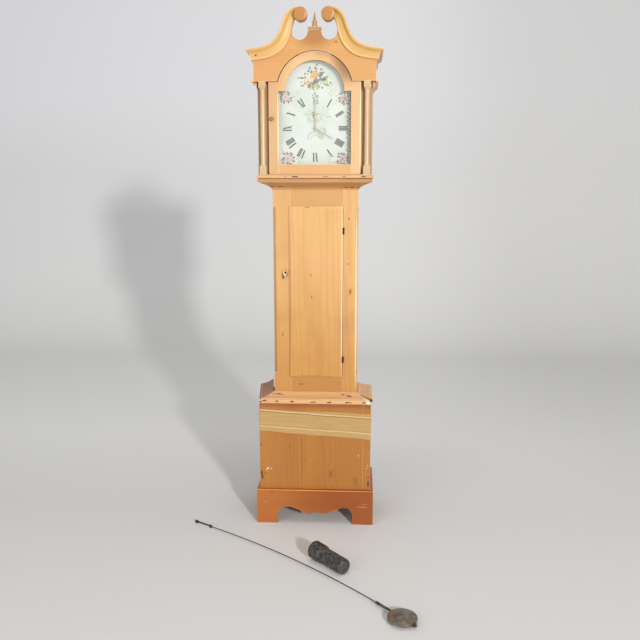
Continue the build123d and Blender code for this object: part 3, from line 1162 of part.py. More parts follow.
def motion_work():
    """Cannon pinion, minute wheel and hour wheel under the dial."""
    toward = bearing(CENTRE_AT, MOTION_AT)
    cannon = gear(CANNON_TEETH, MOTION_MODULE, CENTRE_AT, CANNON_PLANE, toward)
    cannon += rod_y(CENTRE_AT, CANNON_PIPE, DIAL_FRONT - MINUTE_HAND_OUT, FRONT_PLATE_FRONT - CLEAR)
    cannon -= rod_y(CENTRE_AT, PIVOT + PIVOT_PLAY, DIAL_FRONT - MINUTE_HAND_OUT, FRONT_PLATE_FRONT)
    write("cannon_pinion", cannon)

    toward = bearing(MOTION_AT, CENTRE_AT)
    wheel = toothed(CANNON_TEETH, MOTION_MODULE, MOTION_AT, CANNON_PLANE, WHEEL, toward, False, TOOTH)
    leaves = toothed(MOTION_LEAVES, HOUR_MODULE, MOTION_AT, HOUR_PLANE - LEAF_OVER,
                     CANNON_PLANE - HOUR_PLANE + LEAF_OVER, toward, False, LEAF)
    wheel += leaves
    wheel -= rod_y(MOTION_AT, PIVOT + PIVOT_PLAY, HOUR_PLANE - LEAF_OVER, FRONT_PLATE_FRONT)
    write("minute_wheel", wheel)

    toward = bearing(CENTRE_AT, MOTION_AT)
    hour = gear(HOUR_TEETH, HOUR_MODULE, CENTRE_AT, HOUR_PLANE, toward)
    hour = crossed(hour, CENTRE_AT, CENTRE_OPENINGS, HOUR_PLANE, WHEEL)
    hour += rod_y(CENTRE_AT, HOUR_PIPE, DIAL_FRONT - HOUR_HAND_OUT, HOUR_PLANE + WHEEL)
    hour -= rod_y(CENTRE_AT, CANNON_PIPE + PIVOT_PLAY, DIAL_FRONT - HOUR_HAND_OUT, HOUR_PLANE + WHEEL)
    write("hour_wheel", hour)


# ---- hands --------------------------------------------------------------------------------------
def hand(length, boss, bore, front, angle):
    """Pierced hand: a boss, an open heart of two loops, a stem and a leaf-shaped tip."""
    loop = length * 0.13
    loop_at = length * 0.36
    back = front + HAND
    blade = from_front(disc(0, 0, boss), front, back)
    blade += from_front(corners((-2.4, 0), (-1.2, length * 0.8), (1.2, length * 0.8), (2.4, 0)), front, back)
    blade += from_front(corners((0, length * 0.66), (-length * 0.035, length * 0.78), (0, length),
                                (length * 0.035, length * 0.78)), front, back)
    for side in (-1, 1):
        outer = from_front(disc(side * loop * 0.72, loop_at, loop), front, back)
        blade += outer - from_front(disc(side * loop * 0.72, loop_at, loop - 1.8), front, back)
    blade -= from_front(disc(0, 0, bore), front, back)
    return Pos(0, 0, DIAL_CENTRE) * (Rot(0, angle, 0) * blade)


def hands():
    """Hour hand on the hour pipe; minute hand in front of it with its collet and pin."""
    hour = hand(HOUR_HAND, HOUR_BOSS, HOUR_PIPE, DIAL_FRONT - HOUR_HAND_OUT, HOUR_ANGLE)
    write("hour_hand", hour)
    front = DIAL_FRONT - MINUTE_HAND_OUT
    minute = hand(MINUTE_HAND, MINUTE_BOSS, CANNON_PIPE, front, 0.0)
    collet = rod_y(CENTRE_AT, COLLET_RADIUS, front - COLLET, front)
    collet -= rod_y(CENTRE_AT, PIVOT + PIVOT_PLAY, front - COLLET, front)
    write("minute_hand", minute + collet)


# ---- striking -----------------------------------------------------------------------------------
def striking():
    """Strike great wheel, pin wheel and hammer."""
    toward = bearing(STRIKE_GREAT_AT, STRIKE_PIN_AT)
    great = gear(GREAT_TEETH, GREAT_MODULE, STRIKE_GREAT_AT, STRIKE_GREAT_PLANE, toward)
    great = crossed(great, STRIKE_GREAT_AT, GREAT_OPENINGS, STRIKE_GREAT_PLANE, WHEEL)
    great += arbor(STRIKE_GREAT_AT) + sprocket(STRIKE_GREAT_AT, -14.0, STRIKE_GREAT_PLANE)
    write("strike_great_wheel", great)

    toward = bearing(STRIKE_PIN_AT, STRIKE_GREAT_AT)
    pinion = pinion_for(STRIKE_LEAVES, GREAT_MODULE, STRIKE_PIN_AT, STRIKE_GREAT_PLANE, toward)
    wheel = gear(PIN_WHEEL_TEETH, PIN_WHEEL_MODULE, STRIKE_PIN_AT, STRIKE_PIN_PLANE, 90.0)
    wheel = crossed(wheel, STRIKE_PIN_AT, PIN_WHEEL_OPENINGS, STRIKE_PIN_PLANE, WHEEL)
    for pin in range(PIN_COUNT):
        at = added(STRIKE_PIN_AT, polar(STRIKE_PIN_REACH_OUT, pin * 360.0 / PIN_COUNT))
        root = STRIKE_PIN_PLANE + WHEEL
        wheel += rod_y(at, STRIKE_PIN_RADIUS, root, root + STRIKE_PIN_LENGTH)
    write("strike_pin_wheel", wheel + pinion + arbor(STRIKE_PIN_AT))

    z = DIAL_CENTRE + HAMMER_Z
    half = HAMMER_SHANK / 2
    front = BELL_Y - half
    back = BELL_Y + half
    head_x = BELL_X - BELL_RADIUS - HAMMER_GAP - HAMMER_HEAD / 2
    bend = z + HAMMER_BEND
    shank = slab(HAMMER_X - half, HAMMER_X + half, front, back, z, bend)
    shank += slab(head_x - half, HAMMER_X + half, front, back, bend - HAMMER_SHANK, bend)
    shank += slab(head_x - half, head_x + half, front, back, bend - HAMMER_SHANK, z + HAMMER_ARM)
    head = Cylinder(HAMMER_HEAD_RADIUS, HAMMER_HEAD, rotation=(0, 90, 0))
    head = Pos(head_x, BELL_Y, z + HAMMER_ARM) * head
    tail = slab(HAMMER_X - half, HAMMER_X + half, STRIKE_PIN_PLANE + WHEEL + 1.0,
                STRIKE_PIN_PLANE + WHEEL + 3.0, z - HAMMER_TAIL, z)
    write("hammer", arbor(HAMMER_AT) + shank + head + tail)


def bell():
    """Bell above the movement, and the stand that carries it from the back plate."""
    rim = DIAL_CENTRE + BELL_RIM
    rise = BELL_RADIUS * 0.8
    outside = make_face(Plane.XZ * (Curve() + [
        ThreePointArc((BELL_RADIUS, 0), (BELL_RADIUS * 0.76, rise * 0.72), (0, rise)),
        Polyline((0, rise), (0, 0), (BELL_RADIUS, 0))]))
    inner = BELL_RADIUS - BELL_WALL
    low = rise - BELL_WALL
    inside = make_face(Plane.XZ * (Curve() + [
        ThreePointArc((inner, 0), (inner * 0.76, low * 0.72), (0, low)),
        Polyline((0, low), (0, 0), (inner, 0))]))
    dome = revolve(outside, Axis.Z) - revolve(inside, Axis.Z)
    dome = Pos(BELL_X, BELL_Y, rim) * dome
    dome -= Pos(BELL_X, BELL_Y, rim + rise - 2.0) * Cylinder(BELL_STUD, 12.0)
    top = rim + rise
    foot = DIAL_CENTRE + PLATE_HEIGHT / 2 - 30.0
    rear = BACK_PLATE_BACK + BELL_STRAP
    leg = BELL_STAND_X
    stand = slab(leg - 5.0, leg + 5.0, BACK_PLATE_BACK, rear, foot, top + BELL_STRAP)
    stand += slab(leg - 5.0, BELL_X + 5.0, BACK_PLATE_BACK - 7.0, rear, top, top + BELL_STRAP)
    stand += slab(BELL_X - 5.0, BELL_X + 5.0, BELL_Y - 6.0, rear, top, top + BELL_STRAP)
    stand += Pos(BELL_X, BELL_Y, top - 3.0) * Cylinder(BELL_STUD - 0.05, 12.0)
    write("bell", dome, stand)


# ---- pendulum and weight ------------------------------------------------------------------------
def along(start, end):
    """Heading of a floor line in degrees, and its length."""
    return math.degrees(math.atan2(end[1] - start[1], end[0] - start[0])), math.dist(start, end)


def pendulum():
    """Suspension spring, bowed wire rod, flat lower rod, bob and rating nut, lying on the floor."""
    lift = BOB_THICKNESS / 2
    rest = SPRING_BLOCK / 2
    start = (*ROD_START, rest)
    end = (*ROD_END, lift)
    middle = (*ROD_MIDDLE, (rest + lift) / 2)
    path = ThreePointArc(start, middle, end)
    section = Plane(origin=start, z_dir=path % 0) * Circle(ROD_RADIUS)
    wire = sweep(section, path=path)
    heading = path % 1
    turn = math.degrees(math.atan2(heading.Y, heading.X))
    flat_end = BOB_ALONG + BOB_RADIUS
    flat = slab(0, flat_end, -ROD_FLAT_WIDTH / 2, ROD_FLAT_WIDTH / 2, -ROD_FLAT / 2, ROD_FLAT / 2)
    screw = Pos(flat_end + ROD_SCREW_LENGTH / 2, 0, 0)
    screw *= Cylinder(ROD_SCREW_RADIUS, ROD_SCREW_LENGTH, rotation=(0, 90, 0))
    ferrule_start, ferrule_end = FERRULE
    ferrule = Cylinder(ROD_FLAT_WIDTH / 2 + FERRULE_WALL, ferrule_end - ferrule_start, rotation=(0, 90, 0))
    ferrule = Pos((ferrule_start + ferrule_end) / 2, 0, 0) * ferrule
    ferrule -= Pos(ferrule_start / 2, 0, 0) * Cylinder(ROD_RADIUS + FERRULE_BORE, -ferrule_start,
                                                       rotation=(0, 90, 0))
    place = Pos(*end) * Rot(0, 0, turn)
    first = path % 0
    back = math.degrees(math.atan2(first.Y, first.X))
    block = SPRING_BLOCK / 2
    low = SPRING_LIFT - SPRING_WIDTH / 2
    spring = slab(-SPRING_LENGTH, -LOWER_BLOCK, -SPRING / 2, SPRING / 2, low, low + SPRING_WIDTH)
    spring += slab(-LOWER_BLOCK, 0, -LOWER_BLOCK_HALF, LOWER_BLOCK_HALF, -block, block)
    spring += slab(-SPRING_LENGTH - UPPER_BLOCK, -SPRING_LENGTH, -UPPER_BLOCK_HALF, UPPER_BLOCK_HALF,
                   -block, block)
    pin = Cylinder(SPRING_PIN_RADIUS, SPRING_PIN, rotation=(90, 0, 0))
    spring += Pos(-SPRING_LENGTH - UPPER_BLOCK / 2, 0, 0) * pin
    spring = Pos(*start) * Rot(0, 0, back) * spring
    write("pendulum_rod", wire, place * (flat + screw + ferrule), spring)

    half = BOB_THICKNESS / 2
    dome = make_face(Plane.XZ * (Curve() + [
        ThreePointArc((0, half), (BOB_RADIUS * 0.6, half * 0.76), (BOB_RADIUS, BOB_EDGE / 2)),
        Polyline((BOB_RADIUS, BOB_EDGE / 2), (BOB_RADIUS, 0), (0, 0), (0, half))]))
    upper_half = revolve(dome, Axis.Z)
    lens = Pos(BOB_ALONG, 0, 0) * (upper_half + mirror(upper_half, about=Plane.XY))
    slot = slab(0, 2 * flat_end, -ROD_FLAT_WIDTH / 2 - PIVOT_PLAY, ROD_FLAT_WIDTH / 2 + PIVOT_PLAY,
                -ROD_FLAT / 2 - PIVOT_PLAY, ROD_FLAT / 2 + PIVOT_PLAY)
    write("pendulum_bob", place * (lens - slot))
    nut_at = BOB_ALONG + BOB_RADIUS + CLEAR
    nut = Pos(nut_at + NUT / 2, 0, 0) * Cylinder(NUT_RADIUS, NUT, rotation=(0, 90, 0))
    nut -= Pos(nut_at + NUT / 2, 0, 0) * Cylinder(ROD_SCREW_RADIUS + PIVOT_PLAY, NUT, rotation=(0, 90, 0))
    write("rating_nut", place * nut)
    print("pendulum length", SPRING_LENGTH + UPPER_BLOCK + path.length + flat_end + ROD_SCREW_LENGTH)
    print("pendulum nut axis at", (place * Pos(nut_at, 0, 0)).position, "heading", turn)


def weight():
    """Iron weight in two diameters, resting on the head's step and the body's end."""
    tilt = math.degrees(math.asin((WEIGHT_HEAD_RADIUS - WEIGHT_BODY_RADIUS) / WEIGHT_BODY))
    head = Pos(WEIGHT_HEAD / 2, 0, 0) * Cylinder(WEIGHT_HEAD_RADIUS, WEIGHT_HEAD, rotation=(0, 90, 0))
    body = Cylinder(WEIGHT_BODY_RADIUS, WEIGHT_BODY, rotation=(0, 90, 0))
    body = Pos(WEIGHT_HEAD + WEIGHT_BODY / 2, 0, 0) * body
    whole = head + body
    whole -= Pos(WEIGHT_HOLE / 2, 0, 0) * Cylinder(WEIGHT_HOLE_RADIUS, WEIGHT_HOLE, rotation=(0, 90, 0))
    whole = Rot(0, 0, WEIGHT_ANGLE) * (Rot(0, tilt, 0) * whole)
    lift = -whole.bounding_box().min.Z
    write("clock_weight", Pos(*WEIGHT_START, lift) * whole)


os.makedirs("parts", exist_ok=True)
plinth()
base()
packing_tape()
backboard()
base_moulding()
throat_moulding()
trunk()
seatboard()
trunk_door()
hood_carcase()
swan_necks()
frieze()
cornice_returns()
columns()
finial()
hood_door()
dial()
movement_frame()
back_cock()
going_train()
anchor()
motion_work()
hands()
striking()
bell()
pendulum()
weight()
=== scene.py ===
import bmesh
import bpy
import json
import math
import numpy as np
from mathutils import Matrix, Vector


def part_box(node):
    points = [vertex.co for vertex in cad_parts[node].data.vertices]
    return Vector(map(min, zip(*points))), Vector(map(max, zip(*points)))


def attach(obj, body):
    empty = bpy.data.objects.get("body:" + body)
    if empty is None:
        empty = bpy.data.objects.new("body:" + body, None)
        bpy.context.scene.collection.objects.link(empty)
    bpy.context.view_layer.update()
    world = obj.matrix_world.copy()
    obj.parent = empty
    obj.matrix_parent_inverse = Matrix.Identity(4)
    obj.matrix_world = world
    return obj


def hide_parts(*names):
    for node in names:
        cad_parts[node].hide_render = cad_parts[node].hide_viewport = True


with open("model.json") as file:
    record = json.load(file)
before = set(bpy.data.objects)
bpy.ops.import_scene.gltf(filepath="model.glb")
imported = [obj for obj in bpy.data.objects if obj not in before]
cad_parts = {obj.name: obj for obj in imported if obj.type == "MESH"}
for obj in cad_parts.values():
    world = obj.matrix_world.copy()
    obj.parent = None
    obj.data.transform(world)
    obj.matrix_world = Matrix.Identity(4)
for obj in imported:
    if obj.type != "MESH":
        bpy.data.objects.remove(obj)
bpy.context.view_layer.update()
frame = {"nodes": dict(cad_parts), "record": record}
BODY_OF = {node: body for body, nodes in frame["record"]["behaviour"]["bodies"].items() for node in nodes}
MM = 0.001

# ---- sizes of the clock, in millimetres, on the axes of the frame --------------------------------
CASE_BACK = 141.5
PLINTH_FRONT = -141.5
BASE_HALF = 237.5
BASE_FRONT = -123.5
BASE_TOP = 534.0
TRUNK_HALF = 177.0
TRUNK_FRONT = -63.5
TRUNK_TOP = 1471.0
DOOR_FRONT = -70.5
DOOR_LEFT, DOOR_RIGHT, DOOR_LOW, DOOR_HIGH = -112.0, 113.6, 636.0, 1361.0
THROAT_HIGH = 43.0
HOOD_FLOOR = 1471.3
HOOD_HALF = 230.0
HOOD_DOOR_FRONT = -108.0
KNOB_X, KNOB_Z = -171.0, 1705.0
COLUMN_X, COLUMN_Y, COLUMN_LOW = 208.0, -105.0, 1487.5
COLUMN_RADIUS = 10.5
COLUMN_BLOCK = 13.5                               # half the side of the square blocks at its ends
FRIEZE_FRONT = -115.0
FRIEZE_BACK = -97.0
FRIEZE_HALF = 242.5
CORNICE_LOW = 1926.0
CORNICE_TOP = 1966.0
CORNICE_OUT = 27.5
ROUNDEL_X, ROUNDEL_Z = 53.0, 2093.0
PEDESTAL_Z = 2050.0
DIAL_FRONT = -71.0
DIAL_Z = 1670.0
DATE_Z = 1626.4
SIGHT_HALF = 144.5
SIGHT_LOW = 1527.0


# ---- colour and nodes ----------------------------------------------------------------------------
def linear(code):
    """Linear colour of an sRGB hex code."""
    channels = [int(code[i:i + 2], 16) / 255 for i in (1, 3, 5)]
    return (*[c / 12.92 if c <= 0.04045 else ((c + 0.055) / 1.055) ** 2.4 for c in channels], 1.0)


def add(tree, kind, inputs=(), out=0, **settings):
    """Add a shader node with its settings and links, and give one of its outputs.

    Inputs are numbers, vectors, hex codes or other nodes' outputs, in their order or by socket.
    """
    node = tree.nodes.new("ShaderNode" + kind)
    for setting, value in settings.items():
        setattr(node, setting, value)
    for socket, value in inputs.items() if isinstance(inputs, dict) else enumerate(inputs):
        if isinstance(value, bpy.types.NodeSocket):
            tree.links.new(value, node.inputs[socket])
        else:
            node.inputs[socket].default_value = linear(value) if isinstance(value, str) else value
    return node.outputs[out]


SMOOTH = {"interpolation_type": "SMOOTHSTEP"}     # Map Range inputs: value, from, to, start, end


def weighted(tree, start, *terms):
    """A start value plus each (value, weight) term."""
    for value, weight in terms:
        start = add(tree, "Math", (value, weight, start), operation="MULTIPLY_ADD")
    return start


def layered(tree, colour, layers):
    """Each layer (share, colour, way of blending) laid over what lies below it."""
    for share, over, blend in layers:
        colour = add(tree, "Mix", {0: share, 6: colour, 7: over}, 2, data_type="RGBA", blend_type=blend)
    return colour


def with_stops(colour_ramp, stops):
    """Write (place, hex code) stops into a colour ramp, whose output is given and given back."""
    elements = colour_ramp.node.color_ramp.elements
    while len(elements) < len(stops):
        elements.new(0.5)
    for element, (place, code) in zip(elements, stops):
        element.position = place
        element.color = linear(code)
    return colour_ramp


def far_from(tree, place, spot, scale):
    """Distance from a spot (x, y, z) in millimetres, whose three parts are scaled first."""
    off = add(tree, "VectorMath", (place, [part * MM for part in spot]), operation="SUBTRACT")
    off = add(tree, "VectorMath", (off, scale), operation="MULTIPLY")
    return add(tree, "VectorMath", (off,), "Value", operation="LENGTH")


def new_material(name, **sockets):
    """Material of one Principled shader with these values; gives it, its tree and the Object coordinates."""
    material = bpy.data.materials.new(name)
    material.use_nodes = True
    tree = material.node_tree
    for socket, value in sockets.items():
        tree.nodes["Principled BSDF"].inputs[socket.replace("_", " ")].default_value = value
    return material, tree, add(tree, "TexCoord", out="Object")


def surfaced(material, colour, height=None, metres=0.0, strength=0.0, gloss=None):
    """Lead a colour, a bump of a height and a depth in metres, and a roughness to the material's shader."""
    tree = material.node_tree
    leads = {"Base Color": colour, "Roughness": gloss}
    if height is not None:
        leads["Normal"] = add(tree, "Bump", {"Height": height, "Distance": metres, "Strength": strength})
    for socket, value in leads.items():
        if value is not None:
            tree.links.new(value, tree.nodes["Principled BSDF"].inputs[socket])
    return material


# ---- pine ----------------------------------------------------------------------------------------
TURN_TO_GRAIN = {"z": (0.0, 0.0, 0.0), "x": (0.0, math.pi / 2, 0.0), "y": (math.pi / 2, 0.0, 0.0)}
RING_MM = 9.0                                     # growth rings, twice as wide as real ones so that they show
LATE_WOOD = ((0.0, 0.35), (0.16, 0.08), (0.55, 0.2), (0.86, 0.85), (1.0, 0.4))     # darkness across one ring
CLOUD_MM = 20.0                                   # a spot with more radius that isn't narrow is soft and fades outwards
KNOT_RINGS = ((0.0, "#8A5528"), (0.6, "#9A6332"), (1.0, "#6B3E1C"))
KNOT_RINGS_PER_METRE = 380.0
PINKISH, BLOTCH = "#DE9F7C", "#A8713F"


def spotted(tree, place, marks, clouds):
    """Layers of spots: marks have an edge that is ragged by a millimetre, and large clouds fade outwards."""
    ragged = 0.0
    if marks:
        nibbled = add(tree, "TexNoise", dict(Vector=place, Scale=260.0, Detail=3.0, Roughness=0.55), "Fac")
        ragged = weighted(tree, -0.0011, (nibbled, 0.0022))
    layers = []
    for x, y, z, radius, stretch, code in (*marks, *clouds):
        far = far_from(tree, place, (x, y, z), (1.0 / stretch, 1.0, 1.0))
        if radius > CLOUD_MM and stretch > 0.5:
            limits = (far, radius * 0.2 * MM, radius * MM, 0.65, 0.0)
        else:
            edge = weighted(tree, ragged, (far, 1.0))
            limits = (edge, radius * 0.75 * MM, (radius * 1.1 + 0.5) * MM, 0.95, 0.0)
        layers.append((add(tree, "MapRange", limits, **SMOOTH), code, "MIX"))
    return layers


def pine(name, pale, deep, grain, pith, knots=(), marks=(), clouds=(), darker=None, flush=0.25,
         arris="#F9DDB0", rough=0.42, aged=0.5):
    """Waxed old pine: soft growth rings, fine fibres along the grain, reddish knots, arrises rubbed pale, on
    some boards bright enough to be a painted highlight.

    Grain is the board's long axis, and pith (across, behind) the ring centre's distance in millimetres.
    Knots are (x, y, z, radius). Marks and clouds are (x, y, z, radius, stretch along x, colour), for nail
    holes, dents and scars, for stains and darker patches, and for painted highlights along lit edges,
    painted shade lines and a painted shadow. Darker (axis, clean at, dark at, colour) deepens one end of a
    board. Flush is the share of pinkish wood, and aged that of brown blotches.
    """
    material, tree, place = new_material(name, Roughness=rough, Coat_Weight=0.1, Coat_Roughness=0.3)
    turned_place = add(tree, "Mapping", {"Vector": place, "Rotation": TURN_TO_GRAIN[grain]})
    long_place, fibre_place = (add(tree, "Mapping", {"Vector": turned_place, "Scale": (1.0, 1.0, share)})
                               for share in (0.12, 0.03))
    sway, patch, fibre, drift, blotch = (
        add(tree, "TexNoise", dict(Vector=where, Scale=per_metre, Detail=detail, Roughness=fine), "Fac")
        for where, per_metre, detail, fine in (
            (long_place, 9.0, 2.0, 0.55), (long_place, 14.0, 3.0, 0.55), (fibre_place, 420.0, 4.0, 0.65),
            (place, 3.2, 2.0, 0.55), (place, 6.5, 3.0, 0.55)))

    # distance from the pith, which leans and sways, and swells round each knot
    x, y, z = add(tree, "SeparateXYZ", (turned_place,)).node.outputs
    across = weighted(tree, pith[0] * MM, (x, 1.0), (z, 0.035))
    behind = weighted(tree, pith[1] * MM, (y, 1.0))
    reach = add(tree, "CombineXYZ", (across, behind))
    reach = add(tree, "VectorMath", (reach,), "Value", operation="LENGTH")
    reach = weighted(tree, -0.014, (reach, 1.0), (sway, 0.028))
    long_knot = [0.45 if axis == grain else 1.0 for axis in "xyz"]
    dark_knots = 0.0
    for *spot, radius in knots:
        far = far_from(tree, place, spot, long_knot)
        bulge = add(tree, "MapRange", (far, 0.0, radius * 4.0 * MM, radius * 0.9 * MM, 0.0), **SMOOTH)
        reach = weighted(tree, reach, (bulge, 1.0))
        dark = add(tree, "MapRange", (far, radius * 0.5 * MM, radius * 1.15 * MM, 1.0, 0.0), **SMOOTH)
        dark_knots = add(tree, "Math", (dark_knots, dark), operation="MAXIMUM")
    turns = add(tree, "Math", (reach, RING_MM * MM), operation="DIVIDE")
    late = add(tree, "FloatCurve", {1: add(tree, "Math", (turns,), operation="FRACT")})
    points = late.node.mapping.curves[0].points
    points[0].location, points[1].location = LATE_WOOD[0], LATE_WOOD[-1]
    for point in LATE_WOOD[1:-1]:
        points.new(*point)
    late.node.mapping.update()

    # colour: rings, fibres and patches, then what lies over them
    tone = weighted(tree, 0.2 * (aged - 0.5) - 0.06, (late, 0.22), (patch, 0.66), (fibre, 0.2))
    layers = [(tone, deep, "MIX"),
              (add(tree, "MapRange", (drift, 0.46, 0.7, 0.0, flush), **SMOOTH), PINKISH, "MIX"),
              (add(tree, "MapRange", (blotch, 0.52, 0.78, 0.0, 0.4 * aged), **SMOOTH), BLOTCH, "MIX")]
    if darker:
        axis, clean, dark, code = darker
        way = add(tree, "SeparateXYZ", (place,), axis)
        layers.append((add(tree, "MapRange", (way, clean * MM, dark * MM), **SMOOTH), code, "MULTIPLY"))
    if knots:
        eyes = add(tree, "Math", (weighted(tree, 0.0, (reach, KNOT_RINGS_PER_METRE)),), operation="FRACT")
        eyes = with_stops(add(tree, "ValToRGB", (eyes,)), KNOT_RINGS)
        layers.append((add(tree, "Math", (dark_knots, 0.8), operation="MULTIPLY"), eyes, "MIX"))
    # pale arrises: rubbed wear, and where the arris colour is bright, as on the plinth and swan neck, a
    # painted highlight
    rounded = add(tree, "Bevel", {"Radius": 0.0034}, samples=6)
    facing = add(tree, "NewGeometry", out="Normal")
    level = add(tree, "VectorMath", (rounded, facing), "Value", operation="DOT_PRODUCT")
    rubbed = weighted(tree, 1.0, (level, -1.0), (patch, 0.04))
    layers.append((add(tree, "MapRange", (rubbed, 0.03, 0.14, 0.0, 0.7), **SMOOTH), arris, "MIX"))
    layers += spotted(tree, place, marks, clouds)
    return surfaced(material, layered(tree, pale, layers), weighted(tree, 0.0, (fibre, 0.6), (late, 0.5)),
                    0.0004, 0.3, weighted(tree, rough - 0.11, (patch, 0.22)))


def at_depth(y, *spots):
    """Knots, marks or clouds on a face at a depth y, from (x, z, and the rest)."""
    return tuple((x, y, z, *rest) for x, z, *rest in spots)


HOOD_WOOD = "#EAC08A", "#CC9452"                  # pale and deep tone of each part of the case
NECK_WOOD = "#E5BE76", "#CB9444"
TRUNK_WOOD = "#E9BC7D", "#CA914B"
BASE_WOOD = "#BC7E35", "#9A5A1B"
PLINTH_WOOD = "#C67730", "#98511A"
INNER_WOOD = "#B98A57", "#8C623A"
TRUNK_FOOT = ("Z", 1230.0, 560.0, "#E6D5B2")      # darker towards the trunk's lower end
HOLE_AND_GAP_SHADE = "#2C1A10"                                  # inside of a nail hole or a worm-eaten dent, and painted shade in a gap between lengths
BRUISE = "#6E4426"                                # dirt in a dent
FRESH = "#F6E3BF"                                 # newly broken wood
CHIPPED = "#EDBE82"                               # a small old chip
SCUFFED = "#E9B8A0"                               # a pinkish scuff
# plinth's arris colour: rubbed wear, brightened into a painted highlight along its edges
PLINTH_ARRIS_WEAR_AND_HIGHLIGHT = "#F09A52"
# painted highlight on a lit edge
LIT_EDGE = "#FFE9BC"

PLINTH_KNOTS = at_depth(PLINTH_FRONT, (-20.0, 96.0, 9.0))
# the first mark is a painted highlight along the plinth's top edge
PLINTH_MARKS = at_depth(
    PLINTH_FRONT, (0.0, 152.4, 2.2, 130.0, PLINTH_ARRIS_WEAR_AND_HIGHLIGHT), (204.0, 81.0, 1.3, 16.0, "#D98F50"),
    (214.0, 94.0, 0.9, 12.0, "#D98F50"), (-212.0, 97.0, 1.8, 1.0, "#E9B27A"),
    (-215.0, 108.0, 1.2, 1.0, BRUISE), (-185.0, 142.0, 1.4, 5.0, BRUISE), (-60.0, 139.0, 1.3, 4.0, BRUISE))
BASE_KNOTS = at_depth(BASE_FRONT, (67.0, 222.0, 9.0), (173.0, 196.0, 6.0), (175.0, 174.0, 4.0))
BASE_MARKS = at_depth(
    BASE_FRONT, (-108.0, 345.0, 2.6, 1.0, HOLE_AND_GAP_SHADE), (-43.0, 287.0, 2.0, 1.0, HOLE_AND_GAP_SHADE), (0.5, 276.0, 1.6, 1.0, HOLE_AND_GAP_SHADE),
    (-232.0, 349.0, 3.2, 1.0, HOLE_AND_GAP_SHADE), (228.0, 342.0, 2.6, 1.0, HOLE_AND_GAP_SHADE), (-203.0, 243.0, 3.6, 1.2, FRESH),
    (-189.0, 242.0, 2.4, 1.0, FRESH), (-209.0, 236.0, 2.2, 1.0, FRESH), (186.0, 309.0, 2.8, 0.8, CHIPPED),
    (186.0, 300.0, 2.4, 0.6, CHIPPED), (226.0, 262.0, 3.0, 0.7, CHIPPED), (221.0, 250.0, 2.2, 0.7, CHIPPED),
    (-214.0, 219.0, 4.0, 0.7, BRUISE), (-230.0, 221.0, 13.0, 0.28, HOLE_AND_GAP_SHADE), (-227.0, 203.0, 11.0, 0.3, HOLE_AND_GAP_SHADE),
    (229.0, 210.0, 3.6, 1.2, BRUISE), (229.0, 180.0, 16.0, 0.2, HOLE_AND_GAP_SHADE), (-55.0, 290.0, 120.0, 0.012, BRUISE))
LIP_MARKS = at_depth(
    BASE_FRONT, (-232.0, 540.0, 3.4, 2.4, BRUISE), (-215.0, 545.0, 3.0, 3.0, HOLE_AND_GAP_SHADE),
    (-163.0, 543.0, 3.0, 2.4, HOLE_AND_GAP_SHADE), (-97.0, 542.0, 3.2, 2.6, HOLE_AND_GAP_SHADE), (-8.0, 541.0, 2.8, 4.4, BRUISE),
    (60.0, 541.0, 3.0, 3.2, HOLE_AND_GAP_SHADE), (136.0, 541.0, 2.8, 3.0, HOLE_AND_GAP_SHADE), (150.0, 541.0, 2.4, 2.4, BRUISE),
    (228.0, 541.0, 7.0, 1.8, FRESH), (208.0, 541.0, 3.6, 2.0, BRUISE))
COVE_MARKS = ((-155.0, -80.0, 563.0, 3.6, 2.4, HOLE_AND_GAP_SHADE), (-172.0, -80.0, 563.0, 2.0, 7.0, BRUISE),
              (-140.0, -84.0, 562.0, 2.0, 4.0, BRUISE), (-137.0, -97.0, 558.0, 3.4, 1.6, SCUFFED),
              (116.0, -80.0, 563.0, 2.6, 3.0, HOLE_AND_GAP_SHADE), (146.0, -88.0, 560.5, 4.4, 2.2, HOLE_AND_GAP_SHADE),
              (134.0, -84.0, 562.0, 2.2, 3.0, BRUISE), (159.0, -103.0, 555.0, 2.6, 1.6, SCUFFED),
              (222.0, -112.0, 552.0, 7.0, 1.8, FRESH), (208.0, -98.0, 556.0, 4.0, 1.0, FRESH))
LEFT_RETURN_MARKS = ((-239.0, -92.0, 551.0, 4.0, 1.0, "#3E281A"), (-246.0, -20.0, 551.0, 4.0, 1.0, HOLE_AND_GAP_SHADE),
                     (-262.0, 118.0, 551.0, 6.0, 1.0, "#4A2420"), (-253.0, 60.0, 551.0, 3.0, 1.0, HOLE_AND_GAP_SHADE),
                     (-243.0, -56.0, 551.0, 4.0, 1.0, BRUISE), (-249.0, 10.0, 551.0, 4.0, 1.0, BRUISE))
# nail holes along the right return, and on its front end painted shade in the gap behind the front length's
# mitred end
RIGHT_RETURN_HOLES_AND_GAP_SHADE = (*((244.0, y, 555.0, 3.6, 1.0, HOLE_AND_GAP_SHADE) for y in (-86.0, -66.0, -20.0, 30.0, 90.0)),
                      (235.0, -97.5, 541.0, 10.0, 1.4, HOLE_AND_GAP_SHADE), (214.0, -97.5, 545.0, 6.0, 2.4, HOLE_AND_GAP_SHADE))
# a bruise and a hole at the top, painted highlights along the lit right and top edges, and painted shade
# lines along the left and bottom edges
DOOR_BRUISES_AND_EDGE_LIGHT = at_depth(
    DOOR_FRONT, (-36.0, 1355.5, 2.4, 2.6, BRUISE), (-27.0, 1354.5, 2.0, 1.6, HOLE_AND_GAP_SHADE),
    (111.0, 1000.0, 380.0, 0.006, "#FCE3A8"), (0.0, 1360.0, 1.8, 66.0, "#F6D9A2"),
    (-106.5, 998.0, 366.0, 0.005, "#B07A42"), (0.0, 642.0, 1.8, 60.0, "#94602E"))
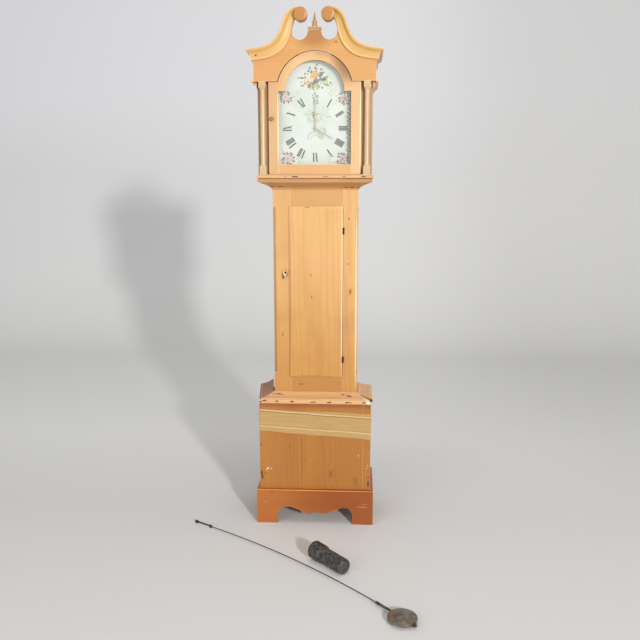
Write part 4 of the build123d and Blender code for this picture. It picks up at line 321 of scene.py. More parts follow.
# painted highlight on the button's face, its dark screw hole, and painted shadow at its lower right
BUTTON_SHINE_AND_SHADOW = at_depth(-79.0, (-127.0, 1083.0, 9.5, 0.9, "#F3CFA8"), (-125.5, 1085.0, 4.4, 1.0, "#4A2418"),
                        (-117.0, 1079.0, 4.6, 0.6, "#5A3020"), (-119.0, 1072.0, 3.6, 0.9, "#5A3020"))
LIT_ARRIS = (170.0, -60.0, 970.0, 385.0, 0.012, "#F9DFAE")       # painted highlight where the light catches the trunk's right front arris
THROAT_MARKS = ((-180.0, -76.0, 1440.3, 2.6, 3.2, HOLE_AND_GAP_SHADE), (-142.0, -76.0, 1440.6, 2.4, 3.6, HOLE_AND_GAP_SHADE),
                (128.0, -71.0, 1436.4, 2.0, 4.4, HOLE_AND_GAP_SHADE), (150.0, -70.5, 1435.6, 3.0, 2.2, HOLE_AND_GAP_SHADE),
                (174.0, -70.5, 1435.6, 2.0, 2.0, BRUISE))
LEDGE_MARKS = ((-84.0, -123.1, 1478.6, 2.8, 2.2, HOLE_AND_GAP_SHADE), (-73.0, -123.1, 1478.6, 2.8, 2.0, HOLE_AND_GAP_SHADE),
               (-118.0, -122.6, 1480.0, 1.6, 2.0, BRUISE), (118.0, -122.8, 1479.8, 2.2, 2.4, BRUISE),
               (196.0, -123.1, 1478.6, 2.4, 3.6, HOLE_AND_GAP_SHADE), (44.0, -123.0, 1479.0, 1.4, 7.0, BRUISE))
# painted highlights on the lit edges of the hood door's sight
HOOD_DOOR_LIT_EDGES = at_depth(HOOD_DOOR_FRONT, (-147.0, 1669.0, 146.0, 0.017, LIT_EDGE),
                           (181.5, 1666.0, 176.0, 0.013, LIT_EDGE))
# painted shadow of the frieze over the door's arch, deepest at the upper right and fading to the left
HOOD_DOOR_ARCH_SHADOW = at_depth(HOOD_DOOR_FRONT, (130.0, 1896.0, 80.0, 0.8, "#6A3E1E"),
                            (104.0, 1938.0, 70.0, 0.9, "#8E5C34"), (40.0, 1985.0, 66.0, 1.2, "#A56A3A"),
                            (-60.0, 1975.0, 50.0, 1.2, "#C98F5E"))
# the frieze darker in the middle above the arch, and a little near its left end
FRIEZE_CLOUDS = at_depth(FRIEZE_FRONT, (0.0, 2022.0, 78.0, 1.4, "#9C5C24"),
                         (-190.0, 1900.0, 60.0, 1.0, "#D69A62"))
NECK_MARKS = ((-230.0, -124.0, 1945.0, 3.2, 1.2, HOLE_AND_GAP_SHADE), (-117.0, -128.0, 2013.0, 2.8, 1.0, HOLE_AND_GAP_SHADE),
              (93.0, -121.0, 1978.0, 2.4, 1.0, HOLE_AND_GAP_SHADE), (150.0, -130.0, 1952.0, 2.4, 1.3, BRUISE))

WOODS = {
    "plinth_front": pine("pine_plinth_front", *PLINTH_WOOD, "x", (60.0, 150.0), PLINTH_KNOTS, PLINTH_MARKS,
                         darker=("X", -230.0, 120.0, "#D8BF9A"), flush=0.06, arris=PLINTH_ARRIS_WEAR_AND_HIGHLIGHT),
    "plinth_side_left": pine("pine_plinth_left", *PLINTH_WOOD, "y", (30.0, 120.0), flush=0.06,
                             arris=PLINTH_ARRIS_WEAR_AND_HIGHLIGHT),
    "plinth_side_right": pine("pine_plinth_right", *PLINTH_WOOD, "y", (-50.0, 90.0), flush=0.06,
                              arris=PLINTH_ARRIS_WEAR_AND_HIGHLIGHT),
    # the base front's top, just under the moulding, darkened as painted shade
    "base_front": pine("pine_base_front", *BASE_WOOD, "z", (-20.0, 260.0), BASE_KNOTS, BASE_MARKS,
                       darker=("Z", 506.0, 531.0, "#DDBFAC"), flush=0.12, arris="#E0A868"),
    "base_side_left": pine("pine_base_left", *BASE_WOOD, "z", (140.0, 60.0), flush=0.1),
    "base_side_right": pine("pine_base_right", *BASE_WOOD, "z", (-150.0, 40.0), flush=0.1),
    "base_bottom": pine("pine_bottom_board", *INNER_WOOD, "x", (80.0, 60.0), rough=0.6),
    "backboard": pine("pine_backboard", "#A87C4E", "#7A5532", "z", (10.0, 300.0),
                      at_depth(CASE_BACK, (-90.0, 1200.0, 9.0), (70.0, 720.0, 11.0), (-40.0, 1610.0, 7.0)),
                      rough=0.62),
    "base_moulding_front": pine("pine_base_moulding", "#EBBC86", "#C98C58", "x", (40.0, 80.0),
                                marks=LIP_MARKS + COVE_MARKS),
    # dark pine on the left return: painted shade on the side turned from the light, with real dark chips
    "base_moulding_left": pine("pine_left_return_painted_shade", "#B05F16", "#8C4510", "y", (40.0, 80.0),
                               marks=LEFT_RETURN_MARKS, flush=0.1),
    "base_moulding_right": pine("pine_right_return", "#F6BF7E", "#D99A58", "y", (60.0, 80.0),
                                marks=RIGHT_RETURN_HOLES_AND_GAP_SHADE),
    "trunk_side_left": pine("pine_cheek_left", *TRUNK_WOOD, "z", (150.0, 70.0),
                            ((-177.0, 40.0, 960.0, 6.0), (-177.0, 85.0, 1310.0, 5.0)), darker=TRUNK_FOOT),
    "trunk_side_right": pine("pine_cheek_right", *TRUNK_WOOD, "z", (-140.0, 30.0),
                             ((177.0, 10.0, 1120.0, 6.0), (177.0, 90.0, 760.0, 7.0)), (LIT_ARRIS,),
                             darker=TRUNK_FOOT),
    "trunk_stile_left": pine("pine_stile_left", *TRUNK_WOOD, "z", (210.0, 130.0),
                             at_depth(TRUNK_FRONT, (-140.0, 820.0, 4.0), (-138.0, 1068.0, 6.0)),
                             darker=TRUNK_FOOT),
    "trunk_stile_right": pine("pine_stile_right", *TRUNK_WOOD, "z", (-190.0, 120.0),
                              at_depth(TRUNK_FRONT, (146.0, 1006.0, 6.0), (138.0, 1308.0, 3.5),
                                       (136.0, 1122.0, 3.0)),
                              (LIT_ARRIS,), darker=TRUNK_FOOT),
    "trunk_rails": pine("pine_rails", "#DDB071", "#BE8743", "x", (40.0, 200.0),
                        at_depth(TRUNK_FRONT, (-63.0, 603.0, 5.0)), darker=TRUNK_FOOT),
    "trunk_door": pine("pine_door", "#EABE80", "#CB924A", "z", (-30.0, 240.0),
                       at_depth(DOOR_FRONT, (-20.0, 1075.0, 3.0), (-16.0, 982.0, 3.5)), DOOR_BRUISES_AND_EDGE_LIGHT,
                       darker=("Z", 1290.0, 560.0, "#E5D3A2")),
    "trunk_door_button": pine("pine_button", "#DDA56E", "#A66C3A", "z", (125.0, 90.0), clouds=BUTTON_SHINE_AND_SHADOW),
    "throat_moulding": pine("pine_throat", "#CB995C", "#A36730", "x", (20.0, 90.0), marks=THROAT_MARKS,
                            flush=0.3),
    "seatboard": pine("pine_seatboard", *INNER_WOOD, "x", (40.0, 60.0), rough=0.6),
    "hood_base_frame": pine("pine_hood_frame", *HOOD_WOOD, "x", (30.0, 90.0), marks=LEDGE_MARKS),
    "hood_sides": pine("pine_hood_sides", *HOOD_WOOD, "z", (190.0, 60.0),
                       ((230.0, 30.0, 1700.0, 6.0), (-230.0, 60.0, 1640.0, 6.0))),
    "hood_jambs": pine("pine_hood_jambs", "#C09D72", "#9E7545", "z", (60.0, 70.0)),
    "hood_columns": pine("pine_columns", "#D3BE96", "#BA9460", "z", (30.0, 100.0), rough=0.34, aged=0.2),
    "hood_frieze": pine("pine_frieze", "#E0AC6A", "#BC8040", "x", (20.0, 230.0),
                        at_depth(FRIEZE_FRONT, (84.0, 1994.0, 4.0)), clouds=FRIEZE_CLOUDS, flush=0.1),
    "hood_cornice": pine("pine_cornice", *HOOD_WOOD, "y", (30.0, 90.0)),
    # its bright arris colour is a painted highlight on the bead edges, over the wear
    "swan_neck": pine("pine_swan_neck", *NECK_WOOD, "x", (40.0, 120.0), marks=NECK_MARKS, arris="#FFE8BE"),
    "roundel": pine("pine_roundel", "#C08A4C", "#A66A2A", "x", (40.0, 120.0), arris="#E0AE74"),
    "hood_finial": pine("pine_finial", "#C79F70", "#94683F", "z", (30.0, 60.0), rough=0.5),
    "hood_top": pine("pine_hood_top", *INNER_WOOD, "x", (40.0, 60.0), rough=0.6),
    "hood_mask": pine("pine_mask", "#C99C68", "#9C7044", "z", (60.0, 60.0), rough=0.6),
    "hood_door_frame": pine("pine_hood_door", "#E8C390", "#CE995E", "z", (160.0, 110.0), (), HOOD_DOOR_LIT_EDGES,
                            HOOD_DOOR_ARCH_SHADOW, darker=("X", -90.0, -170.0, "#F3EFEF"), flush=0.14),
    "hood_door_rail": pine("pine_hood_rail", "#E2B87D", "#C99152", "x", (60.0, 110.0)),
    "hood_door_knob": pine("pine_knob", "#A87546", "#6E4426", "y", (10.0, 30.0), arris="#C99C68"),
}


# ---- metal, paint, film and glass ----------------------------------------------------------------
def worn_metal(name, clean, dull, metallic, rough, per_metre, grit=0.0003):
    """Old metal: a clean tone broken by dull patches, so many per metre, with a fine pitted surface."""
    material, tree, place = new_material(name, Metallic=metallic, Roughness=rough)
    patches = add(tree, "TexNoise", dict(Vector=place, Scale=per_metre, Detail=5.0, Roughness=0.65), "Fac")
    pits = add(tree, "TexNoise", dict(Vector=place, Scale=per_metre * 9, Detail=4.0, Roughness=0.7), "Fac")
    tone = add(tree, "MapRange", (patches, 0.38, 0.66), **SMOOTH)
    return surfaced(material, layered(tree, clean, [(tone, dull, "MIX")]), pits, grit, 0.6,
                    weighted(tree, rough - 0.17, (patches, 0.35)))


BRASS = worn_metal("lacquered_brass", "#D8B25C", "#A8843C", 1.0, 0.32, 60.0, 0.0001)  # yellow, shiny
PALE_BRASS = worn_metal("gilt_brass_hands", "#CFC8A8", "#A59C7E", 0.35, 0.4, 90.0, 0.0001)  # worn gilding
DARK_BRASS = worn_metal("tarnished_brass", "#6E5C40", "#3A3126", 0.7, 0.45, 90.0)  # brown, dull
OLD_STEEL = worn_metal("old_steel", "#7C7A78", "#4A4643", 1.0, 0.42, 80.0, 0.0001)  # grey, smooth
WROUGHT_IRON = worn_metal("wrought_iron", "#3A312B", "#20190F", 0.6, 0.6, 90.0)  # near black
CAST_IRON = worn_metal("cast_iron", "#605D5A", "#32302E", 0.4, 0.48, 90.0, 0.0005)  # dark, gritty
BOB_METAL = worn_metal("tarnished_bob", "#8F8475", "#6B6056", 0.7, 0.45, 55.0, 0.0006)  # dull, brownish
BELL_METAL = worn_metal("bell_bronze", "#C0A470", "#8A7146", 1.0, 0.35, 50.0, 0.0001)  # pale bronze


def painted_iron():
    """Japanned dial iron: cream-white gloss paint, faintly green with age, with a painted shadow of the hood
    door along the right edge.
    """
    material, tree, place = new_material("dial_paint", Roughness=0.3, Coat_Weight=0.25, Coat_Roughness=0.12)
    cloud, brushing = (
        add(tree, "TexNoise", dict(Vector=place, Scale=per_metre, Detail=3.0, Roughness=0.55), "Fac")
        for per_metre in (9.0, 60.0))
    green = add(tree, "MapRange", (cloud, 0.35, 0.7), **SMOOTH)
    right = add(tree, "SeparateXYZ", (place,), "X")
    # painted shadow of the hood door's frame across the dial's right edge
    shade = add(tree, "MapRange", (right, 0.11, 0.145, 0.0, 0.8), **SMOOTH)
    colour = layered(tree, "#E6E8E0", [(green, "#D6DED3", "MIX"), (shade, "#A0977E", "MIX")])
    return surfaced(material, colour, brushing, 0.0003, 0.2)


TAPE_BUFFS = ((0.25, "#B58E55"), (0.5, "#BB975D"), (0.8, "#C2A16C"))
TAPE_SLOPE = 0.0604                               # fall of the tape across the front
# painted shade and painted highlight lines of the creases, each: its level in the middle, half its width, its
# strength and its colour
TAPE_CREASE_SHADE_AND_SHINE = ((484.0, 1.6, 0.8, "#7F5A2C"), (489.0, 2.0, 0.7, "#E6CB98"), (419.0, 1.8, 0.8, "#E3C993"),
                (496.0, 1.0, 0.4, "#94703C"), (425.0, 1.2, 0.4, "#94703C"))


def parcel_tape():
    """Buff plastic parcel tape: glossy film with streaks along its length, and painted shade and painted
    highlight lines along creases that follow it.
    """
    material, tree, place = new_material("parcel_tape_film", Roughness=0.38, Coat_Weight=0.2)
    stretched = add(tree, "Mapping", {"Vector": place, "Scale": (0.25, 0.25, 3.0)})
    streaks = add(tree, "TexNoise", dict(Vector=stretched, Scale=40.0, Detail=4.0, Roughness=0.6), "Fac")
    waver = add(tree, "TexNoise", dict(Vector=place, Scale=14.0, Detail=3.0, Roughness=0.55), "Fac")
    film = with_stops(add(tree, "ValToRGB", (streaks,)), TAPE_BUFFS)
    x, _, z = add(tree, "SeparateXYZ", (place,)).node.outputs
    height = weighted(tree, -0.003, (x, TAPE_SLOPE), (z, 1.0), (waver, 0.006))
    layers = []
    for level, half, share, code in TAPE_CREASE_SHADE_AND_SHINE:
        off = add(tree, "Math", (weighted(tree, -level * MM, (height, 1.0)),), operation="ABSOLUTE")
        limits = (off, half * 0.4 * MM, half * 1.4 * MM, share, 0.0)
        layers.append((add(tree, "MapRange", limits, **SMOOTH), code, "MIX"))
    return surfaced(material, layered(tree, film, layers), streaks, 0.0008, 0.35)


def window_glass():
    """Old crown glass: nearly clear, with a faint green cast and a glossy, slightly rippled face."""
    material, tree, place = new_material("crown_glass", Roughness=0.03, Alpha=0.1, IOR=1.5)
    ripple = add(tree, "TexNoise", dict(Vector=place, Scale=12.0, Detail=2.0, Roughness=0.55), "Fac")
    return surfaced(material, layered(tree, "#DDE8E2", [(ripple, "#EEF4F0", "MIX")]), ripple, 0.002, 0.15)


def oil_paint():
    """Oil paint of the dial's flowers and figures: its colours are the mesh's own, thin in places."""
    material, tree, place = new_material("dial_flower_paint", Roughness=0.42)
    tint = add(tree, "Attribute", out="Color", attribute_name="paint")
    brushed = add(tree, "TexNoise", dict(Vector=place, Scale=300.0, Detail=3.0, Roughness=0.55), "Fac")
    thin = add(tree, "MapRange", (brushed, 0.45, 0.8, 0.0, 0.18), **SMOOTH)
    return surfaced(material, layered(tree, tint, [(thin, "#DDE5DA", "MIX")]))


DIAL_PAINT = painted_iron()
TAPE = parcel_tape()
FLOWER_PAINT = oil_paint()
CAD_FINISH = {
    BRASS: ("back_cock", "movement_frame", "great_wheel", "centre_wheel", "third_wheel", "escape_wheel",
            "cannon_pinion", "minute_wheel", "hour_wheel", "strike_great_wheel", "strike_pin_wheel"),
    PALE_BRASS: ("hour_hand", "minute_hand"), DARK_BRASS: ("rating_nut",), BELL_METAL: ("bell",),
    OLD_STEEL: ("anchor", "hammer", "pendulum_rod", "hood_door_pins"),
    WROUGHT_IRON: ("trunk_door_leaves", "trunk_ironwork"),
    DIAL_PAINT: ("dial", "date_disc"), window_glass(): ("hood_door_glass",)}


# ---- meshes --------------------------------------------------------------------------------------
def linked(name, data):
    """New object in the scene."""
    thing = bpy.data.objects.new(name, data)
    bpy.context.scene.collection.objects.link(thing)
    return thing


def shown(name, mesh, body, material, smooth=35.0):
    """Object of a mesh in metres, riding on a body, smooth up to an angle unless that is 0."""
    piece = linked(name, mesh)
    mesh.materials.append(material)
    if smooth:
        mesh.shade_smooth()
        mesh.set_sharp_from_angle(angle=math.radians(smooth))
    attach(piece, body)
    return piece


def outward(mesh):
    """Merge doubled points and turn every face outwards."""
    form = bmesh.new()
    form.from_mesh(mesh)
    bmesh.ops.remove_doubles(form, verts=form.verts, dist=1e-6)
    bmesh.ops.recalc_face_normals(form, faces=form.faces)
    form.to_mesh(mesh)
    form.free()
    return mesh


def grid_mesh(name, points, closed=True):
    """Mesh of a grid of points in millimetres, rows by columns; closed rows wrap round, with capped ends."""
    rows, columns = points.shape[:2]
    index = np.arange(rows * columns).reshape(rows, columns)
    if closed:
        index = np.hstack([index, index[:, :1]])
    corners = [index[:-1, :-1], index[:-1, 1:], index[1:, 1:], index[1:, :-1]]
    faces = np.stack(corners, -1).reshape(-1, 4).tolist()
    if closed:
        faces += [index[0, :-1][::-1].tolist(), index[-1, :-1].tolist()]
    mesh = bpy.data.meshes.new(name)
    mesh.from_pydata((points.reshape(-1, 3) * MM).tolist(), [], faces)
    return outward(mesh)


def formed(name, points, body, material, smooth=35.0):
    """Piece whose skin is a closed grid of points."""
    return shown(name, grid_mesh(name, points), body, material, smooth)


def eased(node, material, width):
    """The node's own solid with its edges rounded by a width, as a plane and years of handling leave them."""
    form = bmesh.new()
    form.from_mesh(frame["nodes"][node].data)
    bmesh.ops.remove_doubles(form, verts=form.verts, dist=1e-5)
    bmesh.ops.dissolve_limit(form, angle_limit=math.radians(0.4), verts=form.verts, edges=form.edges)
    mesh = bpy.data.meshes.new(node + "_eased")
    form.to_mesh(mesh)
    form.free()
    piece = shown(node + "_eased", mesh, BODY_OF[node], material)
    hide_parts(node)
    easing = piece.modifiers.new("eased_edges", "BEVEL")
    easing.width = width * MM
    easing.segments = 2
    easing.limit_method = "ANGLE"
    easing.angle_limit = math.radians(30.0)
    easing.harden_normals = True
    return piece


def turned(name, outline, centre, axis, body, material, steps):
    """Round piece: the outline (radius, height) turned about the y or z axis through the centre."""
    radius, height = np.array(outline, float).T
    angle = np.linspace(0, 2 * math.pi, steps, endpoint=False)
    first, second = radius[:, None] * np.cos(angle), radius[:, None] * np.sin(angle)
    up = np.broadcast_to(height[:, None], first.shape)
    order = (first, second, up) if axis == "z" else (first, up, second)
    return formed(name, np.stack(order, -1) + np.array(centre), body, material)


def run_of(name, profile, plan, height, body, material, spacing, dents):
    """Moulding: profile points (out, up) carried along plan corners (x, y, outward x, outward y).

    Each straight run gets stations a spacing apart, and each dent (x, y, z, radius, depth) pulls the
    points near it back by depth times the square of one less the share of its radius squared.
    """
    out, up = np.array(profile, float).T
    corner = np.array(plan, float)
    length = np.linalg.norm(np.diff(corner[:, :2], axis=0), axis=1)
    place = np.concatenate([[0.0], np.cumsum(length)])
    stations = np.unique(np.concatenate([place, np.arange(0.0, place[-1], spacing)]))
    corner = np.stack([np.interp(stations, place, column) for column in corner.T], -1)
    x = corner[:, None, 0] + corner[:, None, 2] * out
    y = corner[:, None, 1] + corner[:, None, 3] * out
    points = np.stack([x, y, np.broadcast_to(height + up, x.shape)], -1)
    for dent_x, dent_y, dent_z, radius, depth in dents:
        far = np.linalg.norm(points - np.array([dent_x, dent_y, dent_z]), axis=-1)
        pull = depth * np.clip(1.0 - (far / radius) ** 2, 0.0, 1.0) ** 2
        points[..., :2] -= corner[:, None, 2:] * pull[..., None]
    return formed(name, points, body, material, smooth=28.0)


def arc(centre, radius, start, end, count):
    """Points of an arc in the profile's plane, in degrees."""
    angle = np.radians(np.linspace(start, end, count))
    return [(centre[0] + radius * math.cos(a), centre[1] + radius * math.sin(a)) for a in angle]


def smooth_curve(points, count):
    """Natural cubic spline through plane points, sampled evenly in chord length."""
    points = np.array(points, float)
    steps = np.linalg.norm(np.diff(points, axis=0), axis=1)
    knots = np.concatenate([[0], np.cumsum(steps)])
    size = len(points)
    system = np.eye(size)
    right = np.zeros((size, 2))
    for i in range(1, size - 1):
        system[i, i - 1:i + 2] = steps[i - 1], 2 * (steps[i - 1] + steps[i]), steps[i]
        right[i] = 6 * ((points[i + 1] - points[i]) / steps[i] - (points[i] - points[i - 1]) / steps[i - 1])
    bend = np.linalg.solve(system, right)
    places = np.linspace(0, knots[-1], count)
    span = np.clip(np.searchsorted(knots, places, side="right") - 1, 0, size - 2)
    length = steps[span][:, None]
    low = (places - knots[span])[:, None]
    high = length - low
    return ((bend[span] * high ** 3 + bend[span + 1] * low ** 3) / (6 * length)
            + (points[span] / length - bend[span] * length / 6) * high
            + (points[span + 1] / length - bend[span + 1] * length / 6) * low)


# ---- boards, each with the width by which its edges are rounded ------------------------------------
EASED_BOARDS = (("plinth_front", 2.2), ("plinth_side_left", 2.0), ("plinth_side_right", 2.0),
                ("base_front", 1.0), ("base_side_left", 1.2), ("base_side_right", 1.2), ("base_bottom", 0.8),
                ("backboard", 0.8), ("trunk_side_left", 1.2), ("trunk_side_right", 1.2),
                ("trunk_stile_left", 1.0), ("trunk_stile_right", 1.0), ("trunk_rails", 1.0),
                ("seatboard", 0.8), ("hood_sides", 1.2), ("hood_jambs", 1.2), ("hood_frieze", 1.4),
                ("hood_top", 1.0), ("hood_mask", 0.5), ("hood_door_frame", 1.6), ("trunk_door_button", 1.0))


def grain_across(door):
    """Give the faces of the hood door's lower rail, between its stiles, their own grain."""
    door.data.materials.append(WOODS["hood_door_rail"])
    edge = 0.1
    for face in door.data.polygons:
        between = abs(face.center.x) < (SIGHT_HALF + edge) * MM
        face.material_index = int(between and face.center.z < (SIGHT_LOW + edge) * MM)


def cad_finishes():
    """Give the kept solids their materials."""
    for material, nodes in CAD_FINISH.items():
        for node in nodes:
            mesh = frame["nodes"][node].data
            mesh.materials.clear()
            mesh.materials.append(material)


# ---- mouldings -----------------------------------------------------------------------------------
BASE_OUT = TRUNK_FRONT - BASE_FRONT
BASE_PROFILE = ([(0.0, 0.0), (0.0, 37.0), (5.0, 37.0), (6.5, 36.2)]
                + [(6.5 + 44.0 * t, 18.5 + 17.7 * (1 - t) ** 1.9) for t in np.linspace(0.05, 1.0, 14)]
                + [(51.5, 16.6), (57.0, 16.2), (59.2, 15.0), (60.0, 12.5), (60.0, 1.0), (59.0, 0.0)])
THROAT_PROFILE = ([(0.0, 0.0), (3.0, 0.0), (4.0, 1.0), (4.6, 4.0)]
                  + [(4.6 + 42.0 * t ** 1.6, 4.0 + 22.5 * t) for t in np.linspace(0.1, 1.0, 12)]
                  + [(48.0, 27.0), (49.0, 29.0), (54.5, 29.5), (56.0, 31.5), (56.0, 39.0), (54.5, 41.0),
                     (50.0, 42.0), (49.0, THROAT_HIGH), (0.0, THROAT_HIGH)])
HOOD_EDGE_FRONT = -67.5
HOOD_EDGE_HALF = TRUNK_HALF + 4.0
HOOD_EDGE_PROFILE = ([(-2.0, 0.2), (51.0, 0.2)] + arc((50.0, 6.0), 5.8, -90, 90, 9)
                     + [(52.0, 12.2), (52.0, 14.0)] + arc((50.5, 14.4), 1.7, -60, 90, 4) + [(-2.0, 16.1)])
SWING = 6.1                                       # the left return: sprung out at the back, in degrees
LEFT_END = CASE_BACK - 8.0
LOOSE_BACK, LOOSE_OUT, ROLL = 26.0, 8.0, 12.0     # the right return: slid back and out, rolled on the ledge
LEDGE_X = 221.5
RIGHT_END = 129.2
LIP_DENTS = [(x, BASE_FRONT, 551.0, 8.0, 2.8) for x in (-215.0, -158.0, -97.0, -8.0, 60.0, 142.0)]
LIP_DENTS += [(234.0, -121.0, 552.0, 16.0, 7.0), (218.0, -110.0, 554.0, 10.0, 4.0)]
COVE_DENTS = [(-148.0, -88.0, 560.0, 8.0, 2.5), (155.0, -93.0, 558.0, 9.0, 2.5),
              (128.0, -84.0, 562.0, 6.0, 1.5)]
LEFT_DENTS = [(-239.0, -92.0, 551.0, 8.0, 3.4), (-246.0, -20.0, 551.0, 9.0, 3.4),
              (-262.0, 118.0, 551.0, 12.0, 4.0)]
RIGHT_DENTS = [(245.0, y, 551.0, 9.0, 3.4) for y in (-66.0, -20.0, 30.0, 90.0)]
THROAT_DENTS = [(x, -90.0, 1446.0, 6.0, 1.4) for x in (-160.0, -124.0, 128.0, 150.0)]
NOSING_DENTS = [(x, -119.5, 1485.0, 6.0, 1.6) for x in (-78.0, -118.0, 118.0, 196.0)]


def corner_plan(half, front):
    """Plan of a moulding round the left side, the front and the right side of a rectangle."""
    return ((-half, CASE_BACK, -1, 0), (-half, front, -1, -1), (half, front, 1, -1), (half, CASE_BACK, 1, 0))


def swung(plan):
    """Plan corners turned about the left mitre's outer corner."""
    turn = math.radians(SWING)
    spin = np.array([[math.cos(turn), math.sin(turn)], [-math.sin(turn), math.cos(turn)]])
    pivot = np.array([-TRUNK_HALF - BASE_OUT, TRUNK_FRONT - BASE_OUT])
    corner = np.array(plan, float)
    return np.hstack([(corner[:, :2] - pivot) @ spin + pivot, corner[:, 2:] @ spin])


def rolled(mesh):
    """Turn a length about the inner top edge of the base's side, which lies at LEDGE_X, its outer edge up."""
    turn = math.radians(ROLL)
    points = np.zeros(len(mesh.vertices) * 3)
    mesh.vertices.foreach_get("co", points)
    points = points.reshape(-1, 3)
    x, z = points[:, 0] - LEDGE_X * MM, points[:, 2] - BASE_TOP * MM
    points[:, 0] = LEDGE_X * MM + x * math.cos(turn) - z * math.sin(turn)
    points[:, 2] = BASE_TOP * MM + x * math.sin(turn) + z * math.cos(turn)
    mesh.vertices.foreach_set("co", points.ravel())
    mesh.update()


def base_mouldings():
    """Front length between mitres, and two returns that have worked loose."""
    front = ((-TRUNK_HALF, TRUNK_FRONT, -1, -1), (TRUNK_HALF, TRUNK_FRONT, 1, -1))
    left = swung(((-TRUNK_HALF, LEFT_END, -1, 0), (-TRUNK_HALF, TRUNK_FRONT, -1, -1)))
    out, back = TRUNK_HALF + LOOSE_OUT, TRUNK_FRONT + LOOSE_BACK
    right = ((out, back, 1, -1), (out, RIGHT_END, 1, 0))
    for side, plan, dents in (("front", front, LIP_DENTS + COVE_DENTS), ("left", left, LEFT_DENTS),
                              ("right", right, RIGHT_DENTS)):
        node = "base_moulding_" + side
        piece = run_of("base_cove_" + side, BASE_PROFILE, plan, BASE_TOP, "case", WOODS[node],
                       3.0, dents)
        if side == "right":
            rolled(piece.data)
        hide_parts(node)


def throat():
    """Cove that carries the hood, mitred round the trunk's front corners."""
    piece = run_of("throat_cove", THROAT_PROFILE, corner_plan(TRUNK_HALF, TRUNK_FRONT),
                   TRUNK_TOP - THROAT_HIGH, "case", WOODS["throat_moulding"], 4.0, THROAT_DENTS)
    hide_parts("throat_moulding")


def hood_edge():
    """Nosed frame under the hood, round three sides, and its front rail that runs back to the mask."""
    nosing = run_of("hood_nosing", HOOD_EDGE_PROFILE, corner_plan(HOOD_EDGE_HALF, HOOD_EDGE_FRONT),
                    HOOD_FLOOR - 0.1, "hood", WOODS["hood_base_frame"], 4.0, NOSING_DENTS)
    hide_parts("hood_base_frame")


# ---- trunk door ----------------------------------------------------------------------------------
def lipped_door():
    """Closed rings of a rectangle: flat field, quirk, quarter-round lip, and the core let into the frame.

    A ring is (inset, depth behind the face, inset on the hinge side, where the door has no lip).
    """
    quarter = np.radians(np.linspace(0.0, 90.0, 7))
    face = [(30.0, 0.0), (8.4, 0.0), (7.8, 0.5), (7.5, 2.0), (6.8, 2.1)]
    face += [(6.6 * (1 - math.sin(turn)), 1.4 + 3.6 * (1 - math.cos(turn))) for turn in quarter]
    rings = [(inset, depth, max(inset, 0.15)) for inset, depth in face]
    rings += [(0.0, 6.7, 0.15), (9.2, 6.7, 0.15), (9.2, 20.5, 0.15)]
    inset, depth, hinge = np.array(rings).T
    left, right = DOOR_LEFT + inset, DOOR_RIGHT - hinge
    low, high = DOOR_LOW + inset, DOOR_HIGH - inset
    x = np.stack([left, right, right, left], -1)
    z = np.stack([low, low, high, high], -1)
    y = np.broadcast_to((DOOR_FRONT + depth)[:, None], x.shape)
    piece = formed("lipped_door", np.stack([x, y, z], -1), "trunk_door",
                   WOODS["trunk_door"])
    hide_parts("trunk_door")


# ---- hood ----------------------------------------------------------------------------------------
# height up the column, and how square it is there
COLUMN_ROWS = ((0.0, 1.0), (0.8, 1.0), (30.0, 1.0), (31.5, 1.0), (32.5, 0.86), (34.0, 0.62), (36.0, 0.4),
               (38.5, 0.2), (42.0, 0.05), (46.0, 0.0), (130.0, 0.0), (230.0, 0.0), (322.0, 0.0),
               (326.0, 0.05), (329.5, 0.2), (332.0, 0.4), (334.0, 0.62), (335.5, 0.86), (336.5, 1.0),
               (359.2, 1.0), (360.0, 1.0))


def column(side, sign):
    """Shaft between square blocks: the radius at each angle goes from the square's to the circle's."""
    height, square = np.array(COLUMN_ROWS).T
    angle = np.linspace(0.0, 2 * math.pi, 64, endpoint=False)
    block = COLUMN_BLOCK / np.maximum(np.abs(np.cos(angle)), np.abs(np.sin(angle)))
    radius = square[:, None] * block + (1 - square[:, None]) * COLUMN_RADIUS
    points = np.stack([sign * COLUMN_X + radius * np.cos(angle), COLUMN_Y + radius * np.sin(angle),
                       np.broadcast_to(COLUMN_LOW + height[:, None], radius.shape)], -1)
    piece = formed("column_" + side, points, "hood", WOODS["hood_columns"], 40.0)
    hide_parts("hood_columns")


def profile_of_neck():
    """Bead, cavetto and square lip of the pediment's moulding, as (share of the height, out)."""
    turn = np.radians(np.linspace(0.0, 90.0, 12))
    cavetto = [(0.17 + 0.57 * math.sin(a), 8.0 + 12.0 * (1 - math.cos(a))) for a in turn]
    return ([(0.0, 0.0), (0.0, 6.5), (0.02, 8.2), (0.06, 9.0), (0.1, 8.4), (0.12, 6.6), (0.15, 6.4)] + cavetto
            + [(0.755, 20.4), (0.765, 23.0), (0.8, 24.6), (0.87, 26.9), (0.94, 27.5), (0.985, 27.3),
               (1.0, 26.2), (1.0, 0.0)])


NECK_PROFILE = profile_of_neck()
NECK_STATIONS = 80
MITRE_SHARE = 0.12                                # of the neck's length, over which it runs onto the mitre
# each edge of the neck: its two ends, and its bends as shares of the way across and up
NECK_TOP = (((-270.0, 1966.0), (-53.0, 2121.0)),
            ((0.249, 0.039), (0.488, 0.187), (0.641, 0.510), (0.7235, 0.806), (0.848, 0.961)))
NECK_UNDER = (((-242.5, 1926.0), (-62.0, 2093.0)),
              ((0.291, 0.048), (0.557, 0.162), (0.767, 0.419), (0.856, 0.731), (0.906, 0.910)))


def neck_edge(ends, bends):
    """Curve from the cornice's corner up to the roundel."""
    start, end = np.array(ends)
    return smooth_curve(np.vstack([start, start + np.array(bends) * (end - start), end]), NECK_STATIONS)


